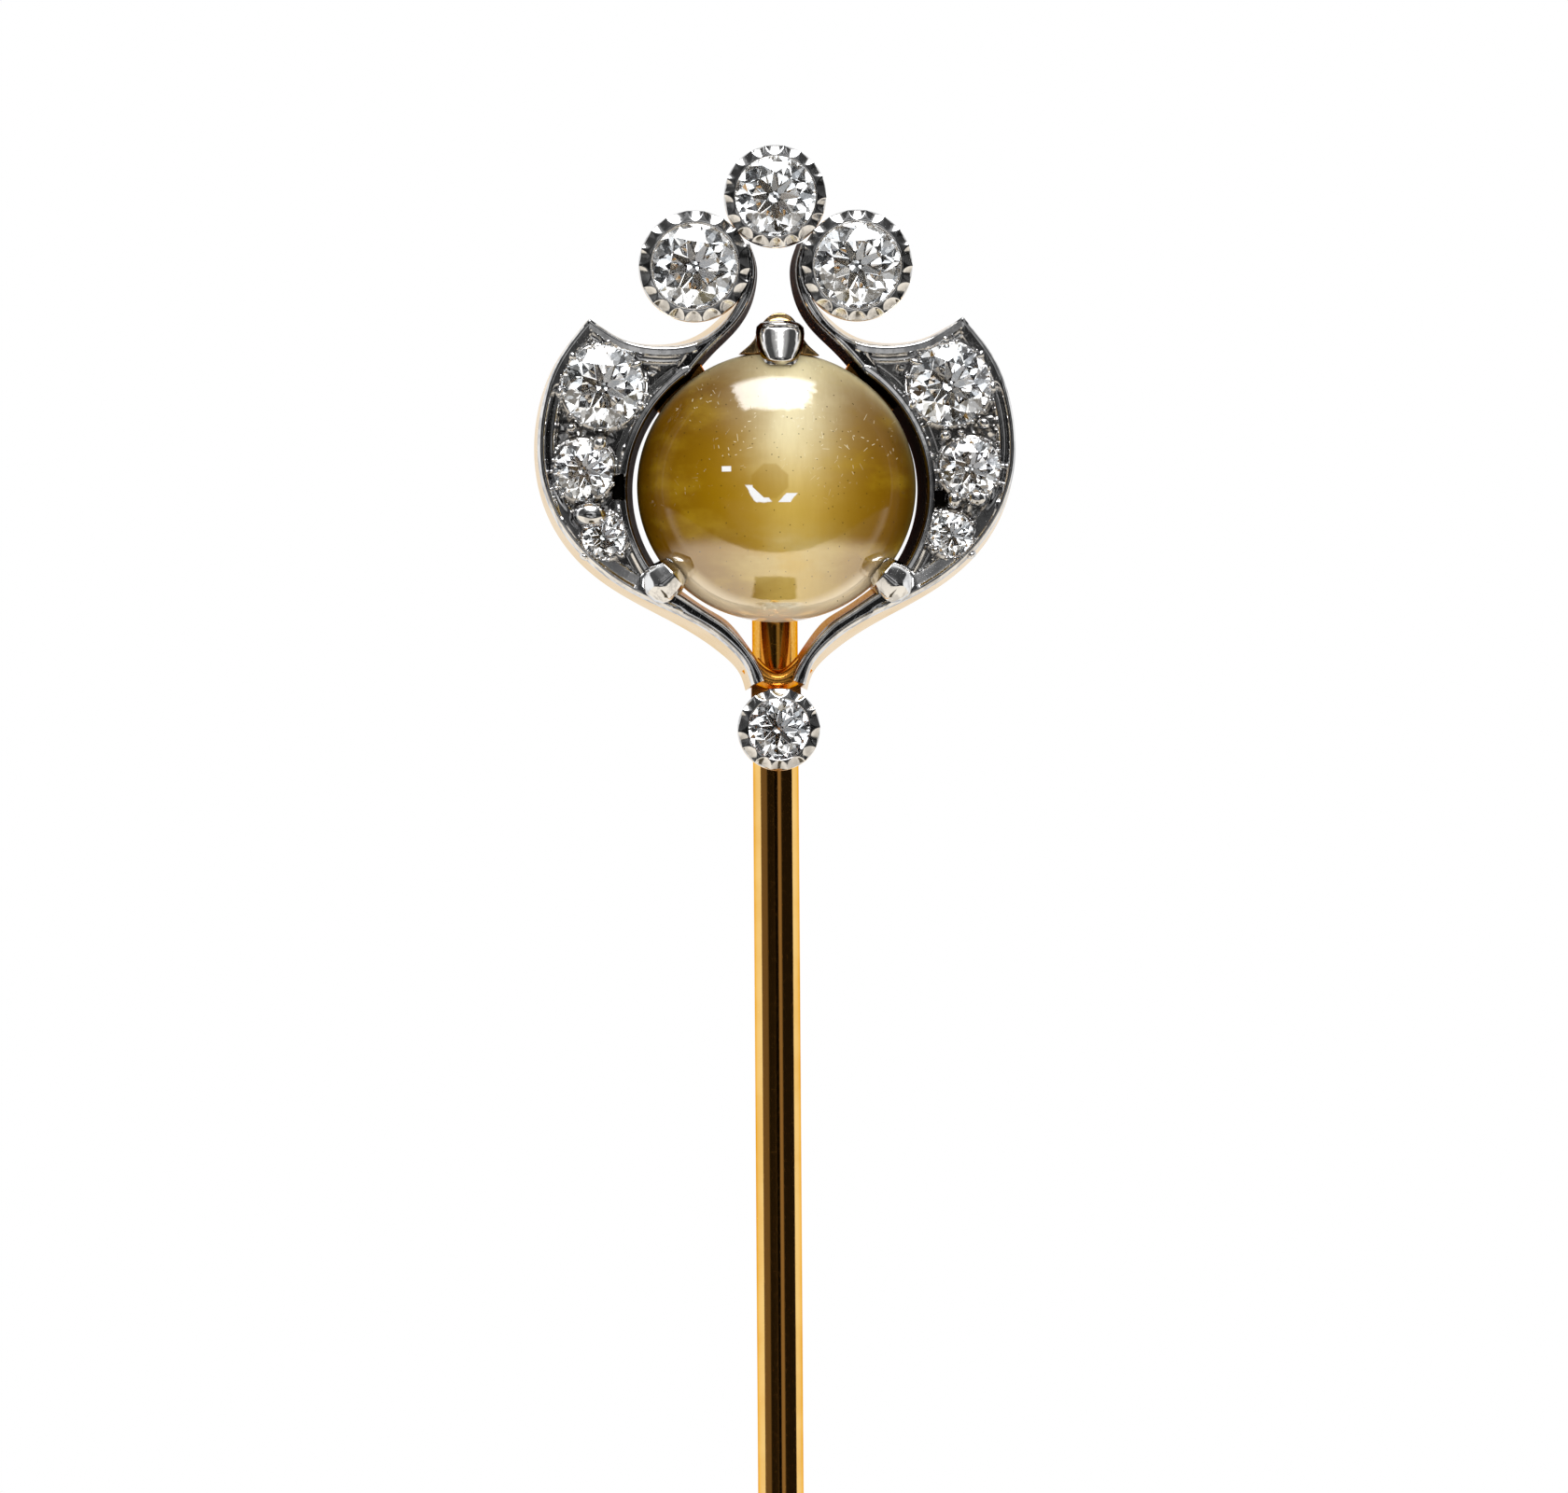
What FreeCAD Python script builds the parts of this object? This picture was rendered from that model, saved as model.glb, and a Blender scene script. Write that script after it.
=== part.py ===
"""A cat's-eye and diamond hat pin: a platinum-fronted gold head on a long gold pin, with a slip-on point guard.

Millimetres. X runs across the head, Z runs up the stem, and the jewelled face looks towards -Y. The origin
is on the stem's axis, level with the lowest edge of the head, where cloth stops. A "depth" is a distance in
front of the stem's axis, so it is minus Y.
"""

import FreeCAD, Part
import math
import os

Vector = FreeCAD.Vector
FACE_AXIS = Vector(0, 1, 0)
STEM_AXIS = Vector(0, 0, 1)

# ---- Driving dimensions ----
STEM_R = 0.575
STEM_TOP, STEM_TOP_R = 4.85, 0.55
STEM_POINT = -44.0
# Below the grip the stem is drawn a little finer, so the point passes easily through the hole the shank fills.
LOWER_R = 0.56
GRIP_TOP, GRIP_BOTTOM = -21.0, -30.0
# The grip's corners stay inside the shank's radius, and are taken off by this many degrees to either side.
GRIP_R, GRIP_CHAMFER = 0.558, 9.0
GRIP_TURNS, GRIP_STEPS_PER_TURN = 2.5, 16
TAPER_START = -35.0
POINT_R = 0.04

HEAD_BACK = 0.6
PLATE_BACK = 1.75
PLATE_FRONT = 2.1
FIELD_DEPTH = 1.88

STONE_Z = 7.1
STONE_RX, STONE_RZ = 3.5, 3.4
STONE_GIRDLE = 1.5
STONE_DOME, STONE_BELLY = 2.3, 0.5
STONE_FLAT = 2.0

# The right wing's bore round the cat's eye is an arc off the stone's centre, so that it hugs the stone above.
# It narrows towards the back.
BORE_X, BORE_Z = 0.24, STONE_Z - 0.08
BORE_FRONT_R, BORE_BACK_R = 3.54, 3.34
BORE_TOP, BORE_BOTTOM = 55.65, -42.0
FIT_GAP = 0.012

RING_INNER, RING_OUTER = 2.55, 3.24
# The webs between the ring and the wings, as angles round the stone on the right.
WEB_START, WEB_END, WEB_DEPTH = 33.0, 59.0, 0.5

# Centre x, centre z and outer radius of each round collet, with the radius of the diamond in it.
COLLETS = {
    "top": (0.0, 14.38, 1.28, 1.05),
    "upper_left": (-2.04, 12.64, 1.39, 1.15),
    "upper_right": (2.04, 12.64, 1.39, 1.15),
    "bottom": (0.0, 1.03, 1.03, 0.80),
}
COLLET_GIRDLE = 1.98
COLLET_LIP = 2.27
SCALLOPS_PER_MM = 13.5

# Right wing diamonds as centre x, centre z and radius, largest first. The left wing mirrors them.
WING_STONES = {
    "large": (4.35, 9.63, 1.04),
    "medium": (4.85, 7.54, 0.76),
    "small": (4.36, 5.87, 0.56),
}
WING_GIRDLE = 1.95
# Grains raised beside the right wing's stones, as centre x, centre z and radius.
GRAINS = [
    (4.22, 8.36, 0.17),
    (5.20, 8.66, 0.19),
    (4.42, 6.72, 0.21),
    (5.03, 6.80, 0.21),
    (3.42, 9.15, 0.16),
    (3.50, 10.20, 0.16),
    (5.12, 10.38, 0.16),
    (3.95, 5.48, 0.14),
]

# Each claw's angle round the stone, its tip's distance from the stone's axis, and its widths at heel and tip.
CLAWS = {
    "top": (88.6, 3.04, 1.20, 0.74),
    "lower_left": (220.0, 3.26, 0.98, 0.74),
    "lower_right": (320.0, 3.26, 0.98, 0.74),
}
CLAW_FOOT, CLAW_HEEL, CLAW_BROW = 3.25, 4.20, 3.80
CLAW_FRONT = 2.86
CLAW_SPLIT = 2.0

# Proportions of a brilliant, as shares of its radius. Its lower facets run most of the way to the culet.
TABLE, STAR, CROWN = 0.56, 0.78, 0.34
LOWER, PAVILION, CULET = 0.25, 0.86, 0.05
GIRDLE = 0.05
# How far each stone is turned in its seat from the one before, in degrees.
STONE_TURN = 13.0

GUARD_MOUTH, GUARD_END = -36.0, -45.6
GUARD_R, GUARD_BORE_R = 1.55, 1.2
GUARD_COLLAR_R, GUARD_COLLAR_LENGTH = 1.72, 1.6
LINER_BORE_R = LOWER_R + 0.04


# ---- Shared shapes ----
def at(x, z, depth):
    return Vector(x, -depth, z)


def line(*ends):
    return Part.LineSegment(*ends).toShape()


def curve(points, depth):
    spline = Part.BSplineCurve()
    spline.interpolate([at(x, z, depth) for x, z in points])
    return spline.toShape()


def arc(cx, cz, radius, start, end, depth):
    """An arc in a plane parallel with the face, from one angle to another in degrees."""
    turns = [math.radians(a) for a in (start, (start + end) / 2, end)]
    points = [at(cx + radius * math.cos(t), cz + radius * math.sin(t), depth) for t in turns]
    return Part.Arc(*points).toShape()


def polygon(points, near, far):
    """A flat plate of a polygon in x and z, from one depth to another."""
    corners = [at(x, z, near) for x, z in points]
    face = Part.Face(Part.makePolygon(corners + corners[:1]))
    return face.extrude(at(0, 0, far - near))


def turned(outline, x=0.0, z=0.0):
    """A solid turned about a front-to-back axis, from an outline of radius and depth."""
    corners = [at(r, 0, d) for r, d in outline]
    face = Part.Face(Part.makePolygon(corners + corners[:1]))
    solid = face.revolve(Vector(0, 0, 0), FACE_AXIS, 360)
    solid.translate(Vector(x, 0, z))
    return solid


def turned_on_stem(outline):
    """A solid turned about the stem's axis, from an outline of radius and height."""
    corners = [Vector(r, 0, z) for r, z in outline]
    face = Part.Face(Part.makePolygon(corners + corners[:1]))
    return face.revolve(Vector(0, 0, 0), STEM_AXIS, 360)


def stem_rod(radius, bottom, top):
    return Part.makeCylinder(radius, top - bottom, Vector(0, 0, bottom), STEM_AXIS)


def mirrored(shape):
    return shape.mirror(Vector(0, 0, 0), Vector(1, 0, 0))


def placed_at_claw(shape, angle):
    """Turns a shape built along +X from the stone's axis to a claw's angle round the stone."""
    moved = shape.copy()
    moved.rotate(Vector(0, 0, 0), FACE_AXIS, -angle)
    moved.translate(Vector(0, 0, STONE_Z))
    return moved


# ---- Stones ----
def brilliant(radius, x, z, depth, turn=0.0):
    """A round brilliant with its table towards the front and the top of its girdle at a depth."""

    def corner(share, height, step):
        angle = math.radians(turn + 22.5 * step)
        across = radius * share
        return at(x + across * math.cos(angle), z + across * math.sin(angle), depth + radius * height)

    half = math.cos(math.radians(22.5))
    star_height = CROWN * (1 - STAR * half) / (1 - TABLE)
    pavilion_slope = (PAVILION - GIRDLE) / (1 - CULET * half)
    lower_height = -GIRDLE - pavilion_slope * (1 - LOWER * half)

    def face(*corners):
        return Part.Face(Part.makePolygon(list(corners) + [corners[0]]))

    def table(k):
        return corner(TABLE, CROWN, k)

    def star(k):
        return corner(STAR, star_height, k)

    def girdle(k):
        return corner(1, 0, k)

    def under(k):
        return corner(1, -GIRDLE, k)

    def lower(k):
        return corner(LOWER, lower_height, k)

    def culet(k):
        return corner(CULET, -PAVILION, k)

    faces = [
        face(*[table(k) for k in range(0, 16, 2)]),
        face(*[culet(k) for k in range(1, 17, 2)]),
    ]
    for a in range(0, 16, 2):
        b, c, before = a + 1, a + 2, a - 1
        faces += [
            face(table(a), table(c), star(b)),
            face(table(a), star(b), girdle(a), star(before)),
            face(star(b), girdle(a), girdle(b)),
            face(star(b), girdle(b), girdle(c)),
            face(girdle(a), girdle(b), under(b), under(a)),
            face(girdle(b), girdle(c), under(c), under(b)),
            face(lower(b), under(a), under(b)),
            face(lower(b), under(b), under(c)),
            face(under(a), lower(b), culet(b), culet(before), lower(before)),
        ]
    shell = Part.makeShell(faces)
    shell.sewShape()
    solid = Part.makeSolid(shell)
    if solid.Volume < 0:
        solid.reverse()
    return solid


def stone_seat(radius, x, z, depth):
    """What is cut away for a brilliant: its turned outline with a hair of room, and an open hole behind."""
    r = radius + FIT_GAP
    under = depth - GIRDLE * radius - FIT_GAP
    slope = (PAVILION - GIRDLE) / (1 - CULET)
    hole = 0.5 * radius
    outline = [
        (0, depth + CROWN * radius + FIT_GAP),
        (TABLE * r, depth + CROWN * radius + FIT_GAP),
        (r, depth + FIT_GAP),
        (r, under),
        (hole, under - slope * (r - hole)),
        (hole, 0),
        (0, 0),
    ]
    return turned(outline, x, z)


def cats_eye():
    """A high oval cabochon with a shallow belly and a flat base."""
    girdle = at(0, 0, STONE_GIRDLE)
    dome_ellipse = Part.Ellipse(at(STONE_RX, 0, STONE_GIRDLE), at(0, 0, STONE_GIRDLE + STONE_DOME), girdle)
    dome = Part.ArcOfEllipse(dome_ellipse, 0, math.pi / 2).toShape()
    belly_centre = at(STONE_FLAT, 0, STONE_GIRDLE)
    belly_ellipse = Part.Ellipse(
        at(STONE_RX, 0, STONE_GIRDLE),
        at(STONE_FLAT, 0, STONE_GIRDLE - STONE_BELLY),
        belly_centre,
    )
    belly = Part.ArcOfEllipse(belly_ellipse, 0, math.pi / 2).toShape()
    base = line(at(STONE_FLAT, 0, STONE_GIRDLE - STONE_BELLY), at(0, 0, STONE_GIRDLE - STONE_BELLY))
    axis = line(at(0, 0, STONE_GIRDLE - STONE_BELLY), at(0, 0, STONE_GIRDLE + STONE_DOME))
    face = Part.Face(Part.Wire(Part.__sortEdges__([dome, belly, base, axis])))
    stone = face.revolve(Vector(0, 0, 0), FACE_AXIS, 360)
    squeeze = FreeCAD.Matrix()
    squeeze.scale(1, 1, STONE_RZ / STONE_RX)
    stone = stone.transformGeometry(squeeze)
    stone.translate(Vector(0, 0, STONE_Z))
    return stone


# ---- Wings ----
HUG_R = 1.40
HUG_START, HUG_END = 212.0, 158.0

# Each outline runs from the foot of the tail, up the outer edge to the wing's tip, along the concave top to the
# arm round the upper collet, then down beside the cat's eye. Only the right wing's is given.
FRONT_OUTER = [
    (0.64, 2.15), (0.80, 2.62), (1.14, 3.06), (1.95, 3.68), (3.50, 4.42), (4.75, 5.30),
    (5.50, 6.25), (5.90, 7.30), (5.98, 8.20), (5.88, 9.10), (5.50, 10.22), (4.68, 11.33),
]
BACK_OUTER = [
    (0.78, 2.00), (0.90, 2.38), (1.34, 2.89), (2.20, 3.50), (3.80, 4.38), (4.92, 5.23),
    (5.62, 6.20), (5.98, 7.28), (6.05, 8.10), (5.96, 9.00), (5.56, 10.15), (4.71, 11.31),
]
FRONT_TOP = [
    (4.27, 11.05), (3.80, 10.79), (3.25, 10.65), (2.70, 10.62), (2.15, 10.69), (1.62, 10.93), (1.20, 11.33),
]
BACK_TOP = [
    (4.30, 11.09), (3.84, 10.86), (3.28, 10.73), (2.73, 10.72), (2.22, 10.82), (1.74, 11.06), (1.34, 11.40),
]
FRONT_ARM = [(0.68, 13.22), (0.53, 12.70), (0.56, 12.13), (0.74, 11.66), (1.07, 11.18), (1.62, 10.65)]
BACK_ARM = [(0.59, 13.22), (0.42, 12.68), (0.44, 12.13), (0.60, 11.59), (0.94, 11.06), (1.50, 10.50)]
FRONT_TAIL = [(2.20, 4.22), (1.72, 3.90), (1.36, 3.66), (1.05, 3.36), (0.72, 2.95), (0.48, 2.55), (0.34, 2.25)]
BACK_TAIL = [(2.12, 4.34), (1.65, 4.03), (1.28, 3.80), (0.95, 3.46), (0.62, 3.00), (0.38, 2.60), (0.27, 2.25)]


def on_circle(cx, cz, radius, angle):
    turn = math.radians(angle)
    return cx + radius * math.cos(turn), cz + radius * math.sin(turn)


def wing_wire(outer, top, arm, tail, bore_r, depth):
    collet_x, collet_z = COLLETS["upper_right"][:2]
    hug_low = on_circle(collet_x, collet_z, HUG_R, HUG_START)
    hug_high = on_circle(collet_x, collet_z, HUG_R, HUG_END)
    bore_high = on_circle(BORE_X, BORE_Z, bore_r, BORE_TOP)
    bore_low = on_circle(BORE_X, BORE_Z, bore_r, BORE_BOTTOM)
    edges = [
        curve(outer, depth),
        curve([outer[-1]] + top + [hug_low], depth),
        arc(collet_x, collet_z, HUG_R, HUG_START, HUG_END, depth),
        line(at(*hug_high, depth), at(*arm[0], depth)),
        curve(arm + [bore_high], depth),
        arc(BORE_X, BORE_Z, bore_r, BORE_TOP, BORE_BOTTOM, depth),
        curve([bore_low] + tail, depth),
        line(at(*tail[-1], depth), at(*outer[0], depth)),
    ]
    return Part.Wire(edges)


def wing_field():
    """The sunk field inside the wing's raised rim, where the stones are set."""
    tip, foot, throat = (4.62, 10.98), (3.38, 4.66), (2.36, 10.36)
    inner_r = BORE_FRONT_R + 0.17
    start, end = -35.0, 52.5
    low = on_circle(BORE_X, BORE_Z, inner_r, start)
    high = on_circle(BORE_X, BORE_Z, inner_r, end)
    outer = [
        tip, (5.24, 10.30), (5.60, 9.40), (5.76, 8.50), (5.77, 7.80), (5.62, 7.00), (5.30, 6.25), (4.50, 5.30),
        foot,
    ]
    top = [throat, (2.85, 10.41), (3.35, 10.45), (3.85, 10.60), (4.27, 10.82), tip]
    edges = [
        curve(outer, FIELD_DEPTH),
        line(at(*foot, FIELD_DEPTH), at(*low, FIELD_DEPTH)),
        arc(BORE_X, BORE_Z, inner_r, start, end, FIELD_DEPTH),
        line(at(*high, FIELD_DEPTH), at(*throat, FIELD_DEPTH)),
        curve(top, FIELD_DEPTH),
    ]
    return Part.Face(Part.Wire(edges)).extrude(at(0, 0, PLATE_FRONT))


def right_wing():
    """The platinum front and gold back of the right wing, one sheet soldered on the other."""
    front = wing_wire(FRONT_OUTER, FRONT_TOP, FRONT_ARM, FRONT_TAIL, BORE_FRONT_R, PLATE_FRONT)
    back = wing_wire(BACK_OUTER, BACK_TOP, BACK_ARM, BACK_TAIL, BORE_BACK_R, HEAD_BACK)
    body = Part.makeLoft([front, back], True, True)
    grains = [Part.makeSphere(r, at(x, z, FIELD_DEPTH + 0.35 * r)) for x, z, r in GRAINS]
    seats = [stone_seat(r, x, z, WING_GIRDLE) for x, z, r in WING_STONES.values()]
    in_front = Part.makeBox(20, 10, 40, Vector(-10, -PLATE_BACK - 10, -10))
    plate = body.common(in_front).cut(wing_field()).fuse(grains)
    plate = plate.common(in_front)
    backing = body.cut(in_front)
    return plate.cut(seats), backing.cut(seats)


# ---- Setting of the cat's eye ----
def claw(reach, width, tip_width):
    """One claw along +X: a round-heeled post outside the stone, bent in over its edge to a narrower tip."""
    side = [
        (CLAW_FOOT, HEAD_BACK), (CLAW_HEEL, HEAD_BACK), (CLAW_HEEL, CLAW_FRONT - 0.50),
        (CLAW_HEEL - 0.12, CLAW_FRONT - 0.19), (CLAW_BROW, CLAW_FRONT), (reach + 0.20, CLAW_FRONT),
        (reach, CLAW_FRONT - 0.22), (reach, 1.60), (CLAW_FOOT, 1.10),
    ]
    corners = [at(r, 0, d) for r, d in side]
    bar = Part.Face(Part.makePolygon(corners + corners[:1])).extrude(Vector(0, 0, width))
    bar.translate(Vector(0, 0, -width / 2))
    half, tip, heel_centre = width / 2, tip_width / 2, CLAW_HEEL - width / 2
    one_side = [(reach - 1, tip), (reach, tip), (heel_centre, half)]
    taper = polygon(one_side + [(r, -across) for r, across in reversed(one_side)], 0, 5)
    heel = Part.makeCylinder(half, 5, at(heel_centre, 0, 0), -FACE_AXIS)
    return bar.common(taper.fuse(heel))


def claw_backing():
    """What carries the top claw: a round-topped gold boss behind it, flared at its foot beside the stone."""
    boss_r, boss_centre, near, far = 0.46, 3.90, 1.0, 1.95
    boss = Part.makeCylinder(boss_r, far - near, at(boss_centre, 0, near), -FACE_AXIS)
    foot, neck, top = (3.30, 1.02), (3.56, 0.72), (3.90, 0.46)
    flare = [foot, neck, top] + [(r, -half) for r, half in (top, neck, foot)]
    return boss.fuse(polygon(flare, near, far))


def claws(stone):
    """Each claw as a gold post and a platinum tip, shaped to the stone."""
    front = Part.makeBox(40, 10, 40, Vector(-20, -CLAW_SPLIT - 10, -20))
    made = {}
    for name, (angle, reach, width, tip_width) in CLAWS.items():
        shape = claw(reach, width, tip_width)
        if name == "top":
            shape = shape.fuse(claw_backing())
        whole = placed_at_claw(shape, angle).cut(stone)
        made[name] = (whole.cut(front), whole.common(front))
    return made


def bearing_ring(stone, stem):
    """The gold ring that the cat's eye sits in, with a lug below that is soldered to the stem."""
    front = 1.35
    section = [(RING_INNER, HEAD_BACK), (RING_OUTER, HEAD_BACK), (RING_OUTER, front), (RING_INNER, front)]
    ring = turned(section, 0, STONE_Z)
    lug = Part.makeBox(1.3, 0.5, 0.75, Vector(-0.65, -HEAD_BACK - 0.1, STONE_Z - RING_OUTER + 0.04))
    return ring.fuse(lug).cut(stone).cut(stem)


def gallery_web():
    """A curved gold web from the bearing ring to the right wing's bore, behind the gap round the stone."""
    inner, outer = RING_OUTER - 0.03, BORE_FRONT_R + BORE_X
    back, front = HEAD_BACK, HEAD_BACK + WEB_DEPTH
    corners = [at(r, 0, d) for r, d in [(inner, back), (outer, back), (outer, front), (inner, front)]]
    face = Part.Face(Part.makePolygon(corners + corners[:1]))
    sector = face.revolve(Vector(0, 0, 0), FACE_AXIS, WEB_END - WEB_START)
    return placed_at_claw(sector, WEB_END)


# ---- Round collets ----
def collet(name):
    """A platinum rim with scallops cut round it, and the tapered gold cup behind."""
    x, z, outer, stone = COLLETS[name]
    wall = stone + FIT_GAP
    under = COLLET_GIRDLE - GIRDLE * stone - FIT_GAP
    slope = (PAVILION - GIRDLE) / (1 - CULET)
    bore = wall - (under - PLATE_BACK) / slope
    crown = COLLET_GIRDLE + 0.12 * stone * CROWN / (1 - TABLE) + FIT_GAP
    rim = turned(
        [(bore, PLATE_BACK), (outer, PLATE_BACK), (outer, 2.04), (outer - 0.03, 2.08),
         (0.93 * stone, COLLET_LIP), (0.88 * stone, COLLET_LIP - 0.04), (0.88 * stone, crown),
         (wall, COLLET_GIRDLE + FIT_GAP), (wall, under)],
        x, z,
    )
    count = 2 * round(SCALLOPS_PER_MM * outer / 2)
    middle = (outer + 0.93 * stone) / 2
    cutter_r = 0.8 * math.pi * middle / count
    cutters = []
    for k in range(count):
        turn = 2 * math.pi * (k + 0.5) / count
        outwards = Vector(math.cos(turn), 0.75, math.sin(turn))
        start = at(x, z, COLLET_LIP + 0.07) + Vector(math.cos(turn), 0, math.sin(turn)) * 0.86 * stone
        cutters.append(Part.makeCylinder(cutter_r, outer, start, outwards))
    cup = turned(
        [(bore, PLATE_BACK), (outer, PLATE_BACK), (0.84 * outer, HEAD_BACK), (bore, HEAD_BACK)], x, z
    )
    return rim.cut(cutters), cup


# ---- Pin ----
def grip_twist():
    """A square length of the stem with its corners taken off, twisted so that it holds in cloth."""
    steps = round(GRIP_TURNS * GRIP_STEPS_PER_TURN)
    wires = []
    for k in range(steps + 1):
        z = GRIP_BOTTOM + (GRIP_TOP - GRIP_BOTTOM) * k / steps
        corners = []
        for side in range(4):
            for chamfer in (-GRIP_CHAMFER, GRIP_CHAMFER):
                turn = 360 * (k / GRIP_STEPS_PER_TURN + side / 4) + chamfer
                x, y = on_circle(0, 0, GRIP_R, turn)
                corners.append(Vector(x, y, z))
        wires.append(Part.makePolygon(corners + corners[:1]))
    return Part.makeLoft(wires, True, False)


def pin_stem():
    """A round wire, filed slightly thinner behind the head, with a twisted grip and a long ground point."""
    upper = turned_on_stem(
        [(0, GRIP_TOP), (STEM_R, GRIP_TOP), (STEM_R, 0), (STEM_TOP_R, STEM_TOP - 0.2),
         (STEM_TOP_R - 0.2, STEM_TOP), (0, STEM_TOP)]
    )
    middle = stem_rod(LOWER_R, TAPER_START, GRIP_BOTTOM)
    length = TAPER_START - STEM_POINT
    belly = Vector(0.71 * LOWER_R, 0, TAPER_START - 0.58 * length)
    sides = [Vector(LOWER_R, 0, TAPER_START), belly, Vector(POINT_R, 0, STEM_POINT)]
    taper_side = Part.Arc(*sides).toShape()
    foot = line(sides[2], Vector(0, 0, STEM_POINT))
    axis = line(Vector(0, 0, STEM_POINT), Vector(0, 0, TAPER_START))
    shoulder = line(Vector(0, 0, TAPER_START), sides[0])
    face = Part.Face(Part.Wire([taper_side, foot, axis, shoulder]))
    taper = face.revolve(Vector(0, 0, 0), STEM_AXIS, 360)
    return upper.fuse([grip_twist(), middle, taper]).removeSplitter()


def tail_bridge(taken):
    """The gold web that joins the feet of both tails in front of the stem, hollowed at its top edge."""
    low, top, hollow_r = 1.8, 2.72, 0.62
    web = polygon([(-0.30, low), (0.30, low), (0.75, top), (-0.75, top)], HEAD_BACK, 1.6)
    hollow = Part.makeCylinder(hollow_r, 5, Vector(0, -5, top + 0.30), FACE_AXIS)
    return web.cut(hollow).cut(taken)


def stem_saddle(stem):
    """The gold block behind the bottom collet that the stem lies in."""
    block = Part.makeBox(1.24, 0.35, 2.3, Vector(-0.62, -HEAD_BACK, 0.25))
    return block.cut(stem)


# ---- Point guard ----
def guard_barrel():
    return turned_on_stem(
        [(0, GUARD_END), (0.8, GUARD_END), (1.25, GUARD_END + 0.22), (GUARD_R, GUARD_END + 0.7),
         (GUARD_R, GUARD_MOUTH - GUARD_COLLAR_LENGTH), (GUARD_BORE_R, GUARD_MOUTH - GUARD_COLLAR_LENGTH),
         (GUARD_BORE_R, GUARD_END + 1.0), (0, GUARD_END + 1.0)]
    )


def guard_collar():
    """The ribbed ring round the guard's mouth, for finger and thumb."""
    low, high = GUARD_MOUTH - GUARD_COLLAR_LENGTH, GUARD_MOUTH
    ring = turned_on_stem(
        [(0.78, low), (GUARD_COLLAR_R, low), (GUARD_COLLAR_R, high - 0.15),
         (GUARD_COLLAR_R - 0.15, high), (0.78, high)]
    )
    ribs, groove_r = 30, 0.1
    grooves = []
    for k in range(ribs):
        turn = 2 * math.pi * k / ribs
        reach = GUARD_COLLAR_R + 0.02
        foot = Vector(reach * math.cos(turn), reach * math.sin(turn), low - 1)
        grooves.append(Part.makeCylinder(groove_r, GUARD_COLLAR_LENGTH + 2, foot, STEM_AXIS))
    return ring.cut(grooves)


def guard_liner():
    """The split spring sleeve inside the barrel that grips the stem."""
    top, bottom = GUARD_MOUTH - GUARD_COLLAR_LENGTH, GUARD_END + 1.2
    sleeve = turned_on_stem(
        [(LINER_BORE_R, top - 2.4), (LINER_BORE_R, top), (GUARD_BORE_R, top), (GUARD_BORE_R, bottom),
         (GUARD_BORE_R - 0.2, bottom), (GUARD_BORE_R - 0.2, top - 2.9)]
    )
    slot_width, slot_length = 0.25, 5.0
    slots = []
    for turn in (0, 90):
        slot = Part.makeBox(4, slot_width, slot_length, Vector(-2, -slot_width / 2, top - slot_length))
        slot.rotate(Vector(0, 0, 0), STEM_AXIS, turn)
        slots.append(slot)
    return sleeve.cut(slots)


# ---- Assembly ----
def build():
    parts = {}
    stem = pin_stem()
    stone = cats_eye()
    parts["pin_stem"] = stem
    parts["cats_eye_cabochon"] = stone
    parts["bearing_ring"] = bearing_ring(stone, stem)
    claw_pairs = claws(stone)
    for name, (post, tip) in claw_pairs.items():
        parts["claw_post_" + name] = post.cut(parts["bearing_ring"])
        parts["claw_tip_" + name] = tip
    claw_shapes = [shape for pair in claw_pairs.values() for shape in pair]
    plate, backing = right_wing()
    sides = {"right": (plate, backing), "left": (mirrored(plate), mirrored(backing))}
    webs = {"right": gallery_web(), "left": mirrored(gallery_web())}
    for side, (front, back) in sides.items():
        parts["wing_front_" + side] = front.cut(claw_shapes)
        parts["wing_back_" + side] = back.cut(claw_shapes)
        parts["gallery_web_" + side] = webs[side].cut([parts["bearing_ring"], parts["wing_back_" + side]])
    for place, (name, (x, z, outer, radius)) in enumerate(COLLETS.items()):
        parts["collet_rim_" + name], parts["collet_cup_" + name] = collet(name)
        parts["diamond_" + name] = brilliant(radius, x, z, COLLET_GIRDLE, STONE_TURN * place)
    for place, (name, (x, z, radius)) in enumerate(WING_STONES.items()):
        parts[f"wing_diamond_{name}_right"] = brilliant(radius, x, z, WING_GIRDLE, 6.0 + STONE_TURN * place)
        parts[f"wing_diamond_{name}_left"] = brilliant(radius, -x, z, WING_GIRDLE, 17.0 + STONE_TURN * place)
    parts["stem_saddle"] = stem_saddle(stem)
    taken = [parts[n] for n in ("wing_back_right", "wing_back_left", "collet_cup_bottom", "stem_saddle")]
    parts["tail_bridge"] = tail_bridge(taken)
    parts["guard_barrel"] = guard_barrel()
    parts["guard_collar"] = guard_collar()
    parts["guard_liner"] = guard_liner()
    return parts


def main():
    os.makedirs("parts", exist_ok=True)
    for name, shape in build().items():
        solids = shape.Solids
        whole = solids[0] if len(solids) == 1 else Part.makeCompound(solids)
        print(f"{name}: {len(solids)} solid, {whole.Volume:.4f} mm3, valid {whole.isValid()}")
        whole.exportStep(f"parts/{name}.step")


main()
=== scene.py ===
"""Looks for the cat's-eye and diamond hat pin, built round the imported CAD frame.

Mesh code works in millimetres in the CAD frame: X across the head, Z up the stem, -Y to the front.
A "depth" is a distance in front of the stem's axis, so it is minus Y.
"""

import math
import random

import bmesh
import bpy
import numpy as np
from mathutils import Matrix, Quaternion, Vector, geometry


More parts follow.
